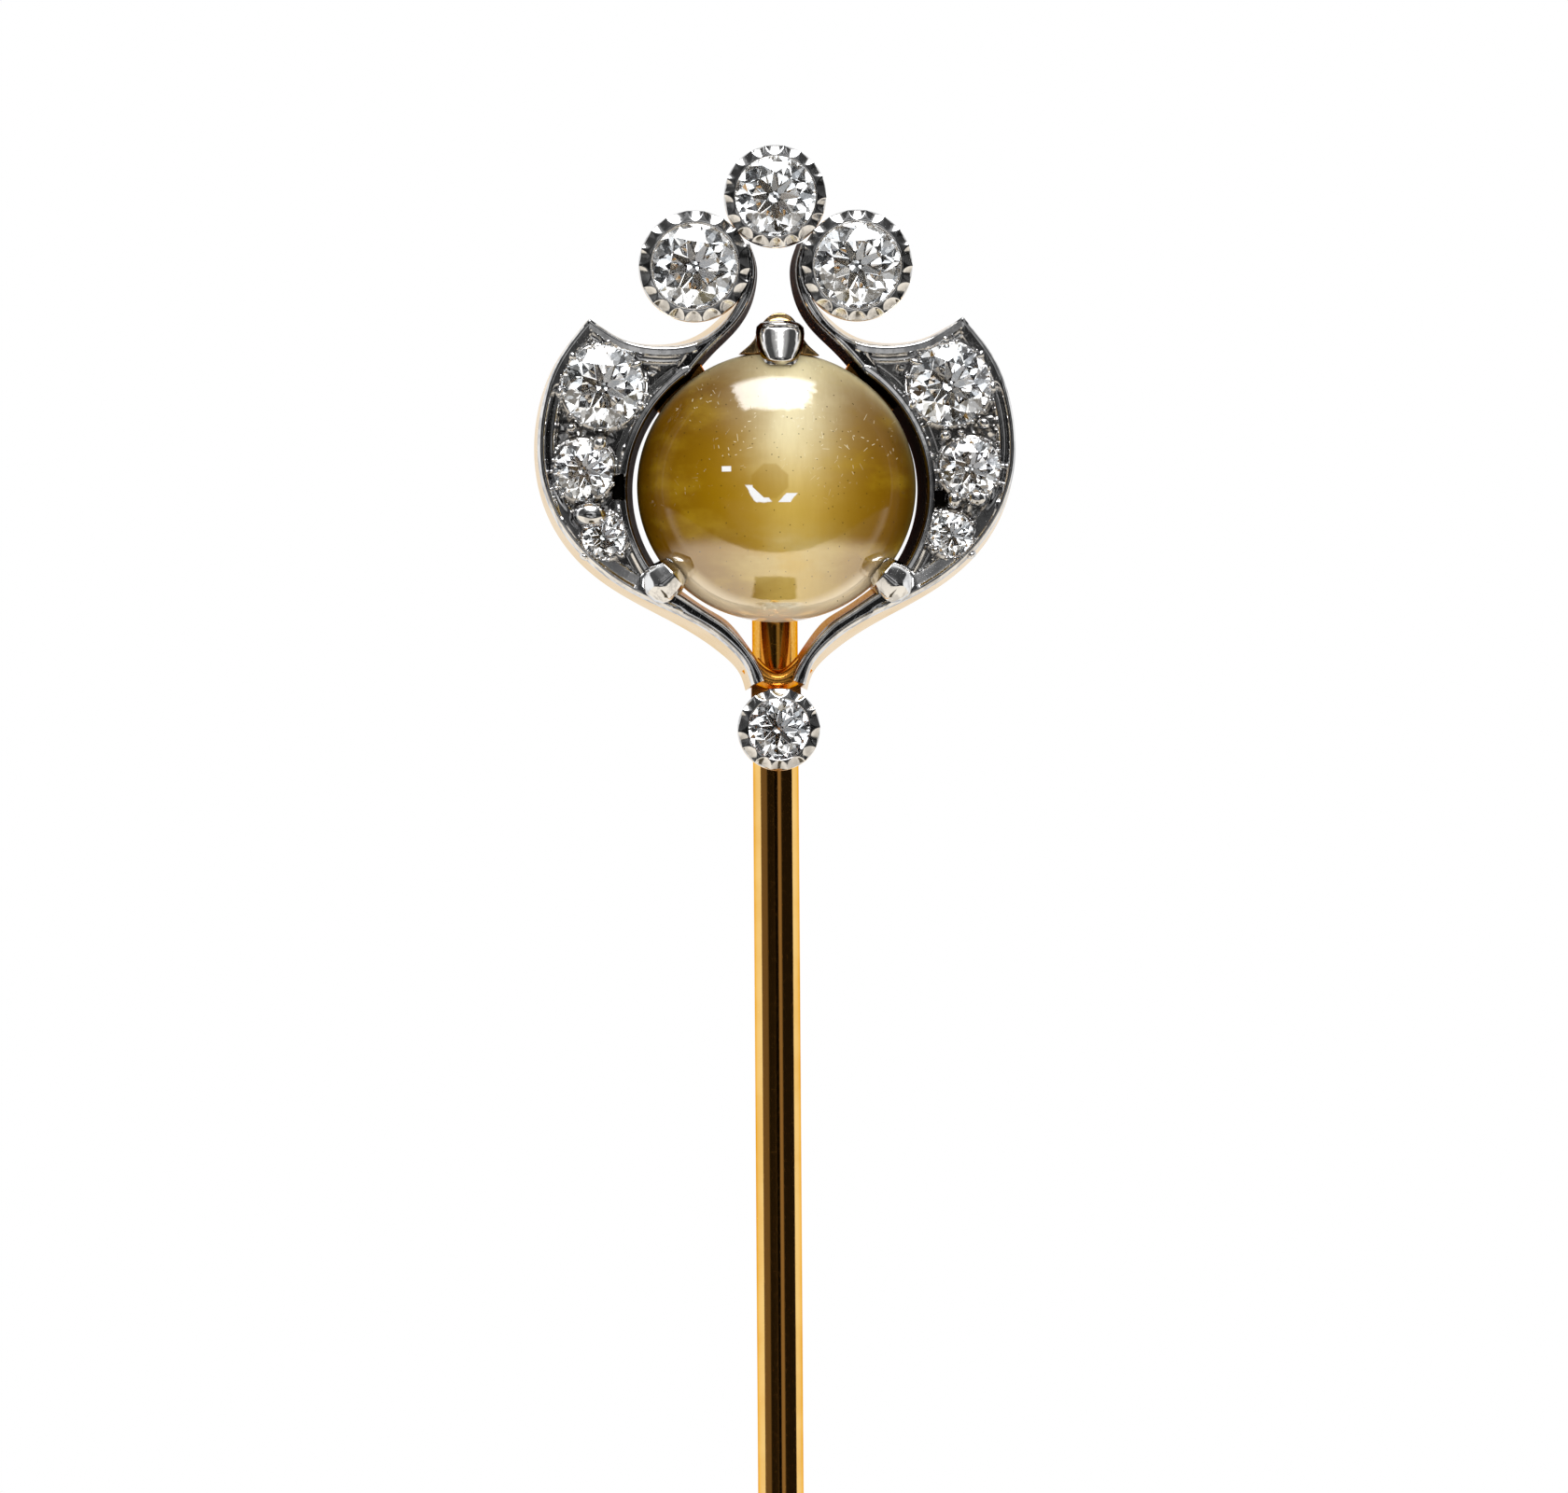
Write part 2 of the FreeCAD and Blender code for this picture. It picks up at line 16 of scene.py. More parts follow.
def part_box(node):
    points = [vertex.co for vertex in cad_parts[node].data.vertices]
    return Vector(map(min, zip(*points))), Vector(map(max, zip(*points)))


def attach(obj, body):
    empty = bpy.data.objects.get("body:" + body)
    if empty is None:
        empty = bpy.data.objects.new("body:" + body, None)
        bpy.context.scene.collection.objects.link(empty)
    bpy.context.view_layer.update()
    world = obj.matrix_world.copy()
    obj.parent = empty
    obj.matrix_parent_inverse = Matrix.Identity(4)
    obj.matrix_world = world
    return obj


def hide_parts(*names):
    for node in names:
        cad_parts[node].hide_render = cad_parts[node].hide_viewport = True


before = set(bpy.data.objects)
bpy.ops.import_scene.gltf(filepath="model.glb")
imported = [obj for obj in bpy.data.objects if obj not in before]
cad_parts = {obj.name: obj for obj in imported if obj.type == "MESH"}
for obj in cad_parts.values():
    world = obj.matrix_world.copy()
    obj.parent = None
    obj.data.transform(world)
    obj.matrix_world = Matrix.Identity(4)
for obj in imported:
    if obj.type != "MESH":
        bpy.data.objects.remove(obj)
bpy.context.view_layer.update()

MM = 0.001
TAU = 2 * math.pi
COLLET_NAMES = ("top", "upper_left", "upper_right", "bottom")
CLAW_NAMES = ("top", "lower_left", "lower_right")
WING_STONES = ("large", "medium", "small")
SIDES = {"right": 1, "left": -1}

# Depths of the head's layers
HEAD_BACK, PLATE_BACK, FIELD, GIRDLE, PLATE_FRONT = 0.6, 1.75, 1.88, 1.95, 2.1


def node_box(node):
    """A node's low and high corners, in millimetres."""
    return [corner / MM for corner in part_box(node)]


def node_disc(node):
    """Centre x, centre z and radius of a round node seen from the front."""
    low, high = node_box(node)
    return (low.x + high.x) / 2, (low.z + high.z) / 2, max(high.x - low.x, high.z - low.z) / 2


def node_depths(node):
    low, high = node_box(node)
    return -high.y, -low.y


# ---------------------------------------------------------------- mesh helpers
class Shell:
    """Points and faces of one piece, in millimetres, with a value on each point for tarnish in hollows and
    painted shade where it lies in shadow.
    """

    def __init__(self):
        self.points, self.faces, self.groove, self.flat = [], [], [], []

    def add(self, point, groove=0.0):
        self.points.append(point)
        self.groove.append(groove)
        return len(self.points) - 1

    def ring(self, points, groove=0.0):
        return [self.add(p, groove) for p in points]

    def disc(self, x, z, radius, depth, count):
        return self.ring([(px, -depth, pz) for px, pz in ring_points(x, z, radius, count)])

    def face(self, corners, flat=False):
        self.faces.append(tuple(corners))
        self.flat.append(flat)

    def join(self, a, b):
        """Quads between two closed rings of one length, or triangles where one of them is a single point."""
        count = max(len(a), len(b))
        for i in range(count):
            j = (i + 1) % count
            if len(a) == 1:
                self.face((a[0], b[i], b[j]))
            elif len(b) == 1:
                self.face((a[i], b[0], a[j]))
            else:
                self.face((a[i], a[j], b[j], b[i]))

    def stack(self, rings):
        for a, b in zip(rings, rings[1:]):
            self.join(a, b)

    def include(self, other):
        start = len(self.points)
        self.points += other.points
        self.groove += other.groove
        for corners, flat in zip(other.faces, other.flat):
            self.face([c + start for c in corners], flat)


def make_piece(name, shell, material, node, body="pin", sharp=35):
    mesh = bpy.data.meshes.new(name)
    mesh.from_pydata([[c * MM for c in p] for p in shell.points], [], shell.faces)
    # Each point's value for tarnish and painted shade goes into an attribute
    mesh.attributes.new("groove", "FLOAT", "POINT").data.foreach_set("value", shell.groove)
    mesh.polygons.foreach_set("use_smooth", [not flat for flat in shell.flat])
    work = bmesh.new()
    work.from_mesh(mesh)
    bmesh.ops.recalc_face_normals(work, faces=work.faces)
    work.to_mesh(mesh)
    work.free()
    mesh.set_sharp_from_angle(angle=math.radians(sharp))
    place_piece(name, mesh, material, node, body)


def place_piece(name, mesh, material, node, body="pin"):
    piece = bpy.data.objects.new(name, mesh)
    bpy.context.scene.collection.objects.link(piece)
    mesh.materials.clear()
    mesh.materials.append(material)
    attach(piece, body)
    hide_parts(node)


def rounded(points, radius, steps=4):
    """A polyline with each inner corner rounded off."""
    points = [Vector(p) for p in points]
    out = [points[0]]
    for before, here, after in zip(points, points[1:], points[2:]):
        reach = min(radius, (before - here).length * 0.49, (after - here).length * 0.49)
        a = here + (before - here).normalized() * reach
        b = here + (after - here).normalized() * reach
        for k in range(steps + 1):
            t = k / steps
            out.append(a * (1 - t) ** 2 + here * 2 * t * (1 - t) + b * t ** 2)
    return [tuple(p) for p in out + [points[-1]]]


def facing(x=0.0, z=0.0):
    """Places a turned profile on a front-to-back axis."""
    return lambda u, v, depth: (x + u, -depth, z + v)


def upright(u, v, height):
    """Places a turned profile on the stem's axis."""
    return (u, v, height)


def lathe(profile, place, segments, shell=None):
    """Turns an outline of radius and height or depth."""
    shell = shell or Shell()
    rings = []
    for radius, height in profile:
        if radius < 1e-6:
            rings.append([shell.add(place(0, 0, height))])
            continue
        turns = [TAU * k / segments for k in range(segments)]
        rings.append(shell.ring([place(radius * math.cos(t), radius * math.sin(t), height) for t in turns]))
    shell.stack(rings)
    return shell


def spline(points, count):
    """A natural cubic curve through points, as count steps without its last point."""
    p = np.array(points, float)
    t = np.r_[0, np.cumsum(np.linalg.norm(np.diff(p, axis=0), axis=1))]
    n, h = len(t), np.diff(t)
    system, right = np.eye(n), np.zeros((n, 2))
    for i in range(1, n - 1):
        system[i, i - 1:i + 2] = h[i - 1], 2 * (h[i - 1] + h[i]), h[i]
        right[i] = 6 * ((p[i + 1] - p[i]) / h[i] - (p[i] - p[i - 1]) / h[i - 1])
    bend = np.linalg.solve(system, right)
    at = np.linspace(0, t[-1], count, endpoint=False)
    k = np.clip(np.searchsorted(t, at, "right") - 1, 0, n - 2)
    width = h[k][:, None]
    a, b = (t[k + 1] - at)[:, None] / width, (at - t[k])[:, None] / width
    cubic = ((a ** 3 - a) * bend[k] + (b ** 3 - b) * bend[k + 1]) * width ** 2 / 6
    return a * p[k] + b * p[k + 1] + cubic


def arc(x, z, radius, start, end, count):
    turns = np.radians(np.linspace(start, end, count, endpoint=False))
    return np.c_[x + radius * np.cos(turns), z + radius * np.sin(turns)]


def ring_points(x, z, radius, count):
    return arc(x, z, radius, 0, 360, count)


def on_circle(x, z, radius, angle):
    turn = math.radians(angle)
    return x + radius * math.cos(turn), z + radius * math.sin(turn)


def distance(points, line):
    """Distance from each point to a polyline."""
    points, line = np.asarray(points, float), np.asarray(line, float)
    best = np.full(len(points), 1e9)
    start, along = line[:-1], np.diff(line, axis=0)
    square = np.maximum((along ** 2).sum(1), 1e-12)
    for chunk in range(0, len(points), 2000):
        p = points[chunk:chunk + 2000, None, :]
        share = np.clip(((p - start) * along).sum(2) / square, 0, 1)
        nearest = start + share[:, :, None] * along
        best[chunk:chunk + 2000] = np.sqrt(((p - nearest) ** 2).sum(2).min(1))
    return best


def smooth(value, low, high):
    t = np.clip((np.asarray(value, float) - low) / (high - low), 0, 1)
    return t * t * (3 - 2 * t)


# ---------------------------------------------------------------- wings
_, STONE_Z, STONE_R = node_disc("cats_eye_cabochon")
STONE_GIRDLE = 1.5
# The bore round the cat's eye is an arc off the stone's centre, so that it hugs the stone above
BORE_X, BORE_Z = 0.24, STONE_Z - 0.08
BORE_FRONT_R, BORE_BACK_R = 3.54, 3.34
BORE_TOP, BORE_BOTTOM = 55.65, -42.0
HUG_R, HUG_START, HUG_END = 1.40, 212.0, 158.0
OUTLINE_STEP = 0.034

FRONT = {
    "outer": [
        (0.64, 2.15), (0.80, 2.62), (1.14, 3.06), (1.95, 3.68), (3.50, 4.42), (4.75, 5.30),
        (5.50, 6.25), (5.90, 7.30), (5.98, 8.20), (5.88, 9.10), (5.50, 10.22), (4.68, 11.33),
    ],
    "top": [
        (4.27, 11.05), (3.80, 10.79), (3.25, 10.65), (2.70, 10.62), (2.15, 10.69), (1.62, 10.93),
        (1.20, 11.33),
    ],
    "arm": [(0.68, 13.22), (0.53, 12.70), (0.56, 12.13), (0.74, 11.66), (1.07, 11.18), (1.62, 10.65)],
    "tail": [
        (2.20, 4.22), (1.72, 3.90), (1.36, 3.66), (1.05, 3.36), (0.72, 2.95), (0.48, 2.55), (0.34, 2.25),
    ],
    "bore": BORE_FRONT_R,
}
BACK = {
    "outer": [
        (0.78, 2.00), (0.90, 2.38), (1.34, 2.89), (2.20, 3.50), (3.80, 4.38), (4.92, 5.23),
        (5.62, 6.20), (5.98, 7.28), (6.05, 8.10), (5.96, 9.00), (5.56, 10.15), (4.71, 11.31),
    ],
    "top": [
        (4.30, 11.09), (3.84, 10.86), (3.28, 10.73), (2.73, 10.72), (2.22, 10.82), (1.74, 11.06),
        (1.34, 11.40),
    ],
    "arm": [(0.59, 13.22), (0.42, 12.68), (0.44, 12.13), (0.60, 11.59), (0.94, 11.06), (1.50, 10.50)],
    "tail": [
        (2.12, 4.34), (1.65, 4.03), (1.28, 3.80), (0.95, 3.46), (0.62, 3.00), (0.38, 2.60), (0.27, 2.25),
    ],
    "bore": BORE_BACK_R,
}


def wing_edges(table, counts=None):
    """The right wing's outline as eight runs of points, named by what they follow."""
    collet_x, collet_z, _ = node_disc("collet_rim_upper_right")
    hug_low = on_circle(collet_x, collet_z, HUG_R, HUG_START)
    hug_high = on_circle(collet_x, collet_z, HUG_R, HUG_END)
    bore_high = on_circle(BORE_X, BORE_Z, table["bore"], BORE_TOP)
    bore_low = on_circle(BORE_X, BORE_Z, table["bore"], BORE_BOTTOM)
    lines = {
        "outer": table["outer"],
        "top": [table["outer"][-1]] + table["top"] + [hug_low],
        "hug": None,
        "link": [hug_high, table["arm"][0]],
        "arm": table["arm"] + [bore_high],
        "bore": None,
        "tail": [bore_low] + table["tail"],
        "foot": [table["tail"][-1], table["outer"][0]],
    }
    if counts is None:
        lengths = {n: sum(math.dist(a, b) for a, b in zip(p, p[1:])) for n, p in lines.items() if p}
        lengths["hug"] = HUG_R * math.radians(HUG_START - HUG_END)
        lengths["bore"] = table["bore"] * math.radians(BORE_TOP - BORE_BOTTOM)
        counts = {n: max(6, round(length / OUTLINE_STEP)) for n, length in lengths.items()}
    runs = {}
    for name, points in lines.items():
        if name == "hug":
            runs[name] = arc(collet_x, collet_z, HUG_R, HUG_START, HUG_END, counts[name])
        elif name == "bore":
            runs[name] = arc(BORE_X, BORE_Z, table["bore"], BORE_TOP, BORE_BOTTOM, counts[name])
        else:
            runs[name] = spline(points, counts[name])
    return runs, counts


FRONT_RUNS, RUN_COUNTS = wing_edges(FRONT)
BACK_RUNS, _ = wing_edges(BACK, RUN_COUNTS)
RUN_ORDER = list(FRONT_RUNS)
FRONT_LOOP = np.concatenate([FRONT_RUNS[n] for n in RUN_ORDER])
BACK_LOOP = np.concatenate([BACK_RUNS[n] for n in RUN_ORDER])


def loop_at(depth):
    """The wing's outline at a depth, between its front and back outlines."""
    share = (PLATE_FRONT - depth) / (PLATE_FRONT - HEAD_BACK)
    return FRONT_LOOP + (BACK_LOOP - FRONT_LOOP) * share


def run_line(*names):
    """A run of the front outline with the point where the next run starts."""
    parts = [FRONT_RUNS[n] for n in names]
    following = RUN_ORDER[(RUN_ORDER.index(names[-1]) + 1) % len(RUN_ORDER)]
    return np.concatenate(parts + [FRONT_RUNS[following][:1]])


# Height profiles of the rims, as distance in from the edge and depth
RIM_TIP = [
    (0, 2.03), (.015, 2.065), (.04, 2.09), (.07, 2.10), (.25, 2.035), (.275, 1.99), (.31, 1.94),
    (.50, 1.86), (9, 1.5),
]
RIM_THREAD = [
    (0, 2.02), (.02, 2.06), (.05, 2.095), (.085, 2.11), (.12, 2.10), (.16, 2.06), (.19, 2.00), (.215, 1.955),
    (.30, 1.955), (.33, 1.985), (.365, 2.0), (.395, 1.985), (.44, 1.92), (.52, 1.86), (9, 1.5),
]
RIM_LOW = [
    (0, 2.02), (.02, 2.06), (.05, 2.09), (.08, 2.10), (.11, 2.09), (.14, 2.05), (.17, 2.03), (.42, 1.93),
    (.50, 1.86), (9, 1.5),
]
RIM_TOP = [
    (0, 2.03), (.015, 2.065), (.035, 2.09), (.06, 2.10), (.21, 2.07), (.24, 2.01), (.27, 1.95),
    (.33, 1.94), (.36, 1.965), (.42, 1.90), (9, 1.5),
]
RIM_BORE = [
    (0, 2.03), (.012, 2.065), (.028, 2.085), (.05, 2.09), (.17, 2.068), (.185, 2.04), (.20, 1.97),
    (.25, 1.93), (.40, 1.86), (9, 1.5),
]
RIM_STRIP = [
    (0, 2.02), (.012, 2.06), (.03, 2.085), (.045, 2.09), (.06, 2.08), (.075, 2.05), (.10, 2.045),
    (.30, 2.045), (.34, 1.9), (9, 1.5),
]
# The raised lip round a stone's seat, by distance out from the stone
SEAT_LIP = [(-.03, 1.972), (-.02, 1.975), (.012, 1.998), (.04, 1.985), (.10, 1.93), (.16, 1.80)]
# Rows of points by distance in from the plate's edge, and rings by distance out from a stone
ROWS = (.012, .028, .05, .075, .10, .125, .15, .175, .20, .225, .25, .28, .31, .34, .37, .40, .44, .48)
COLLAR_ROWS = (-.02, .012, .04, .07, .10, .14)
FIELD_PITCH = 0.15
# Radii under a wing's stone, as shares of its own: its seat, the hole behind it and the hole's mouth
SEAT, HOLE, MOUTH = 0.86, 0.52, 0.55


def profile_height(profile, distances):
    d, h = zip(*profile)
    return np.interp(distances, d, h)


def rim_height(points):
    """Depth of the raised rims over each point, from the distance to each part of the wing's edge."""
    x, z = points[:, 0], points[:, 1]
    outer = distance(points, run_line("outer"))
    outer_height = profile_height(RIM_THREAD, outer)
    for profile, share in (
        (RIM_TIP, smooth(z, 9.45, 9.75)),
        (RIM_LOW, 1 - smooth(z, 6.3, 7.3)),
        (RIM_STRIP, smooth(-x, -2.9, -2.2) * (z < 6)),
    ):
        outer_height = outer_height + (profile_height(profile, outer) - outer_height) * share
    top = distance(points, run_line("top"))
    top_height = np.where(x < 2.0, profile_height(RIM_STRIP, top), profile_height(RIM_TOP, top))
    heights = [outer_height, top_height, profile_height(RIM_BORE, distance(points, run_line("bore")))]
    for names in (("arm",), ("tail",), ("hug", "link")):
        heights.append(profile_height(RIM_STRIP, distance(points, run_line(*names))))
    return np.max(heights, axis=0)


def triangles(points, loop_count, circles):
    """Triangles that fill a loop, given first in points, and leave round holes open."""
    order = list(range(loop_count))
    edges, start = [], loop_count
    for _, _, _, count in circles:
        ring = list(range(start, start + count))
        edges += list(zip(ring, ring[1:] + ring[:1]))
        start += count
    made = geometry.delaunay_2d_cdt([Vector(p) for p in points], edges, [order], 1, 1e-7)
    flat_points, faces, origins = made[0], made[2], made[3]
    kept = []
    for face in faces:
        centre = sum((flat_points[i] for i in face), Vector((0, 0))) / 3
        if all(math.dist(centre, (x, z)) > r for x, z, r, _ in circles):
            kept.append(tuple(face))
    first = [ids[0] if ids else None for ids in origins]
    return [tuple(p) for p in flat_points], kept, first


def wing_stones(side):
    """A wing's stones as discs, as if the wing were the right one."""
    discs = [node_disc(f"wing_diamond_{size}_{side}") for size in WING_STONES]
    return [(abs(x), z, r) for x, z, r in discs]


def inward(loop, reach):
    """Unit normals into a loop, each taken between the points a reach ahead and behind."""
    tangent = np.roll(loop, -reach, axis=0) - np.roll(loop, reach, axis=0)
    tangent /= np.linalg.norm(tangent, axis=1)[:, None]
    ahead = np.roll(loop, -1, axis=0)
    area = (loop[:, 0] * ahead[:, 1] - ahead[:, 0] * loop[:, 1]).sum()
    return np.c_[-tangent[:, 1], tangent[:, 0]] * (1 if area > 0 else -1)


def plate_points(stones, rng):
    """Points over the plate: rows along the edge, rings round the stones, and a scatter in the sunk field."""
    closed = np.vstack([FRONT_LOOP, FRONT_LOOP[:1]])

    def clear(points, edge_gap, stone_gap):
        keep = distance(points, closed) >= edge_gap
        for x, z, r in stones:
            keep &= np.hypot(points[:, 0] - x, points[:, 1] - z) >= r + stone_gap
        return points[keep]

    rings = [ring_points(x, z, r + COLLAR_ROWS[0], ring_count(r)) for x, z, r in stones]
    normals = inward(FRONT_LOOP, 1)
    rows = [clear(FRONT_LOOP + normals * d, d - 0.004, -0.008) for d in ROWS]
    for x, z, r in stones:
        for e in COLLAR_ROWS[1:]:
            stone_gap = e - 0.004 if e < 0.1 else 0.01
            rows.append(clear(ring_points(x, z, r + e, ring_count(r)), 0.03, stone_gap))
    low, high = FRONT_LOOP.min(0), FRONT_LOOP.max(0)
    across, up = (np.arange(low[i], high[i], FIELD_PITCH) for i in (0, 1))
    grid = np.array([(u, v) for u in across for v in up])
    grid = grid + rng.uniform(-0.42, 0.42, grid.shape) * FIELD_PITCH
    inside = np.array([inside_loop(p, FRONT_LOOP) for p in grid])
    return rings, np.vstack(rows), clear(grid[inside], 0.50, 0.17)


def ring_count(radius):
    return int(round(TAU * radius / 0.04))


def inside_loop(point, loop):
    x, z = point
    a, b = loop, np.roll(loop, -1, axis=0)
    crosses = (a[:, 1] > z) != (b[:, 1] > z)
    with np.errstate(divide="ignore", invalid="ignore"):
        at = a[:, 0] + (z - a[:, 1]) / (b[:, 1] - a[:, 1]) * (b[:, 0] - a[:, 0])
    return bool((crosses & (x < at)).sum() % 2)


# A narrow recess beside each medium stone, as centre x, centre z, half width and half height, and its depth
PIERCED = {"right": (4.08, 6.76, .12, .19), "left": (3.98, 7.11, .13, .28)}
PIERCED_FLOOR = 1.79


def wing_plate(side):
    """The platinum front of a wing: raised rims, a bright-cut field and seats for its stones."""
    stones = wing_stones(side)
    rng = np.random.default_rng(7 if side == "right" else 11)
    rings, near, field = plate_points(stones, rng)
    circles = [(x, z, r + COLLAR_ROWS[0], len(ring)) for (x, z, r), ring in zip(stones, rings)]
    points = np.vstack([FRONT_LOOP] + rings + [near, field])
    field_start = len(points) - len(field)
    flat, faces, first = triangles(points, len(FRONT_LOOP), circles)
    flat = np.array(flat)
    scatter = np.array([i is not None and i >= field_start for i in first])
    height, groove = plate_height(side, stones, flat, scatter, rng)
    shell, index = Shell(), {}
    for i in sorted({i for f in faces for i in f}):
        index[i] = shell.add((flat[i, 0], -height[i], flat[i, 1]), float(groove[i]))
    for f in faces:
        shell.face([index[i] for i in f], any(scatter[i] for i in f))
    place = {o: index[i] for i, o in enumerate(first) if o is not None and i in index}
    start = len(FRONT_LOOP)
    edge, holes = [place[i] for i in range(start)], []
    for ring in rings:
        holes.append([place[start + i] for i in range(len(ring))])
        start += len(ring)
    plate_walls(shell, stones, edge, holes)
    return shell


def plate_height(side, stones, flat, scatter, rng):
    """Depth and darkening of the plate's face: its rims, the cut field, its recess and the lips of its seats.
    The low parts take tarnish with painted shade, and the recess is painted black as its shadow.
    """
    x, z = flat[:, 0], flat[:, 1]
    height = np.maximum(rim_height(flat), FIELD) + scatter * rng.uniform(-0.105, 0.11, len(flat))
    # Tarnish with painted shade: the face darkens where it lies low
    groove = np.clip((1.99 - height) / 0.1, 0, 1) * 0.3
    slot_x, slot_z, half_width, half_height = PIERCED[side]
    off = np.maximum(np.abs(x - slot_x) / half_width, np.abs(z - slot_z) / half_height)
    hollow = 1 - smooth(off, 0.9, 1.15)
    height = height + (np.minimum(height, PIERCED_FLOOR) - height) * hollow
    # Painted shadow: a value of 2 turns the recess black
    groove = np.maximum(groove, 2.0 * hollow)
    for stone_x, stone_z, r in stones:
        gap = np.hypot(x - stone_x, z - stone_z) - r
        lip = profile_height(SEAT_LIP, gap)
        height = np.where(gap < SEAT_LIP[-1][0], np.maximum(height, lip), height)
        height = np.where(gap < 0.0, lip, height)
    return height, groove


def plate_walls(shell, stones, edge, holes):
    """The plate's outer wall, its stones' seats and its flat underside."""
    tone, low_loop = wall_tone(), loop_at(PLATE_BACK)
    side_ring = [shell.add((x, -2.0, z), 0.4 * t) for (x, z), t in zip(loop_at(2.0), tone)]
    low_ring = [shell.add((x, -PLATE_BACK, z), t) for (x, z), t in zip(low_loop, tone)]
    shell.stack([edge, side_ring, low_ring])
    circles = []
    for (x, z, r), hole in zip(stones, holes):
        levels = ((r + .006, 1.958), (r + .006, GIRDLE - .06 * r), (SEAT * r, PLATE_BACK))
        walls = [hole] + [shell.disc(x, z, radius, depth, len(hole)) for radius, depth in levels]
        shell.stack(walls)
        circles.append(((x, z, SEAT * r, len(hole)), walls[-1]))
    close_plate(shell, low_loop, low_ring, circles, PLATE_BACK)


def close_plate(shell, loop, ring, circles, depth):
    """The flat underside of a plate, with its round holes, on rings that are already there."""
    points = np.vstack([loop] + [ring_points(*c) for c, _ in circles])
    ids = list(ring) + [i for _, c in circles for i in c]
    flat, faces, first = triangles(points, len(loop), [c for c, _ in circles])
    index = {}
    for i, origin in enumerate(first):
        index[i] = ids[origin] if origin is not None else shell.add((flat[i][0], -depth, flat[i][1]))
    for f in faces:
        shell.face([index[i] for i in f], True)


def wing_backing(side):
    """The gold back of a wing, with the open holes behind its stones."""
    shell, rings, tone = Shell(), [], wall_tone()
    for depth in (PLATE_BACK, 1.70, 1.4, 1.1, 0.8, 0.66, HEAD_BACK + 0.015):
        rings.append([shell.add((x, -depth, z), t) for (x, z), t in zip(loop_at(depth), tone)])
    back_loop = loop_at(HEAD_BACK)
    back_loop = back_loop + inward(back_loop, 3) * 0.03
    rings.append(shell.ring([(x, -HEAD_BACK, z) for x, z in back_loop]))
    shell.stack(rings)
    front_circles, back_circles = [], []
    for x, z, r in wing_stones(side):
        count = ring_count(r)
        levels = ((SEAT * r, PLATE_BACK), (HOLE * r, 1.43), (HOLE * r, 0.66), (MOUTH * r, HEAD_BACK))
        walls = [shell.disc(x, z, radius, depth, count) for radius, depth in levels]
        shell.stack(walls)
        front_circles.append(((x, z, SEAT * r, count), walls[0]))
        back_circles.append(((x, z, MOUTH * r, count), walls[-1]))
    close_plate(shell, loop_at(PLATE_BACK), rings[0], front_circles, PLATE_BACK)
    close_plate(shell, back_loop, rings[-1], back_circles, HEAD_BACK)
    return shell


def wall_tone():
    """Darkening on a wing's walls, tarnish with painted shade: heavy in the bore round the cat's eye, light
    inside the tail and arm.
    """
    shares = {"bore": 1.0, "tail": 0.42, "arm": 0.8, "hug": 0.85, "link": 0.8}
    tones = np.concatenate([np.full(RUN_COUNTS[n], shares.get(n, 0.0)) for n in RUN_ORDER])
    kernel = np.ones(9) / 9
    return np.convolve(np.r_[tones[-4:], tones, tones[:4]], kernel, "valid").tolist()


def bead(x, z, rx, rz, depth, height, turn=0.0, steps=12):
    """A rounded grain: a dome of height over depth, rx by rz, turned in the plate's plane."""
    shell = Shell()
    c, s = math.cos(turn), math.sin(turn)
    rings = []
    for k in range(steps // 2 + 3):
        lean = (k - 2) / (steps // 2) * math.pi / 2
        across, up = (math.cos(lean), math.sin(lean)) if k > 1 else (1.0, -0.4 * (2 - k) / 2)
        if k == steps // 2 + 2:
            rings.append([shell.add((x, -depth - height, z))])
            continue
        ring = []
        for j in range(steps * 2):
            t = TAU * j / (steps * 2)
            u, v = rx * across * math.cos(t), rz * across * math.sin(t)
            ring.append((x + u * c - v * s, -depth - height * up, z + u * s + v * c))
        # The grain's foot, where it meets the plate, darkens: tarnish with painted shade
        rings.append(shell.ring(ring, 0.5 * (k < 3)))
    shell.stack(rings)
    shell.face(list(reversed(rings[0])))
    return shell


# Grains as centre x, centre z, half width, half height, height over the field and turn in degrees
GRAINS = {
    "right": [
        (4.22, 8.36, .17, .15, .24, 20), (5.20, 8.66, .19, .16, .24, -30), (4.44, 6.74, .22, .24, .34, 5),
        (5.00, 6.78, .30, .24, .36, -8), (3.42, 9.15, .16, .11, .20, 60), (3.50, 10.20, .21, .10, .20, -20),
        (5.12, 10.38, .16, .12, .20, 40), (3.95, 5.48, .14, .10, .18, 30), (4.62, 8.42, .12, .10, .20, 0),
        (4.86, 5.36, .13, .09, .17, 30), (5.42, 9.55, .10, .15, .18, 10), (4.25, 10.78, .13, .08, .17, -20),
    ],
    "left": [
        (4.44, 8.20, .24, .22, .36, 0), (5.16, 8.60, .17, .14, .24, 20), (4.67, 6.42, .46, .33, .42, -4),
        (3.42, 9.15, .16, .11, .20, -60), (3.52, 10.18, .21, .10, .20, 20), (5.10, 10.40, .14, .12, .20, -40),
        (3.95, 5.42, .14, .10, .18, -30), (4.84, 5.38, .13, .09, .17, -30), (5.44, 9.50, .10, .15, .18, -10),
        (4.22, 10.75, .13, .08, .17, 20),
    ],
}


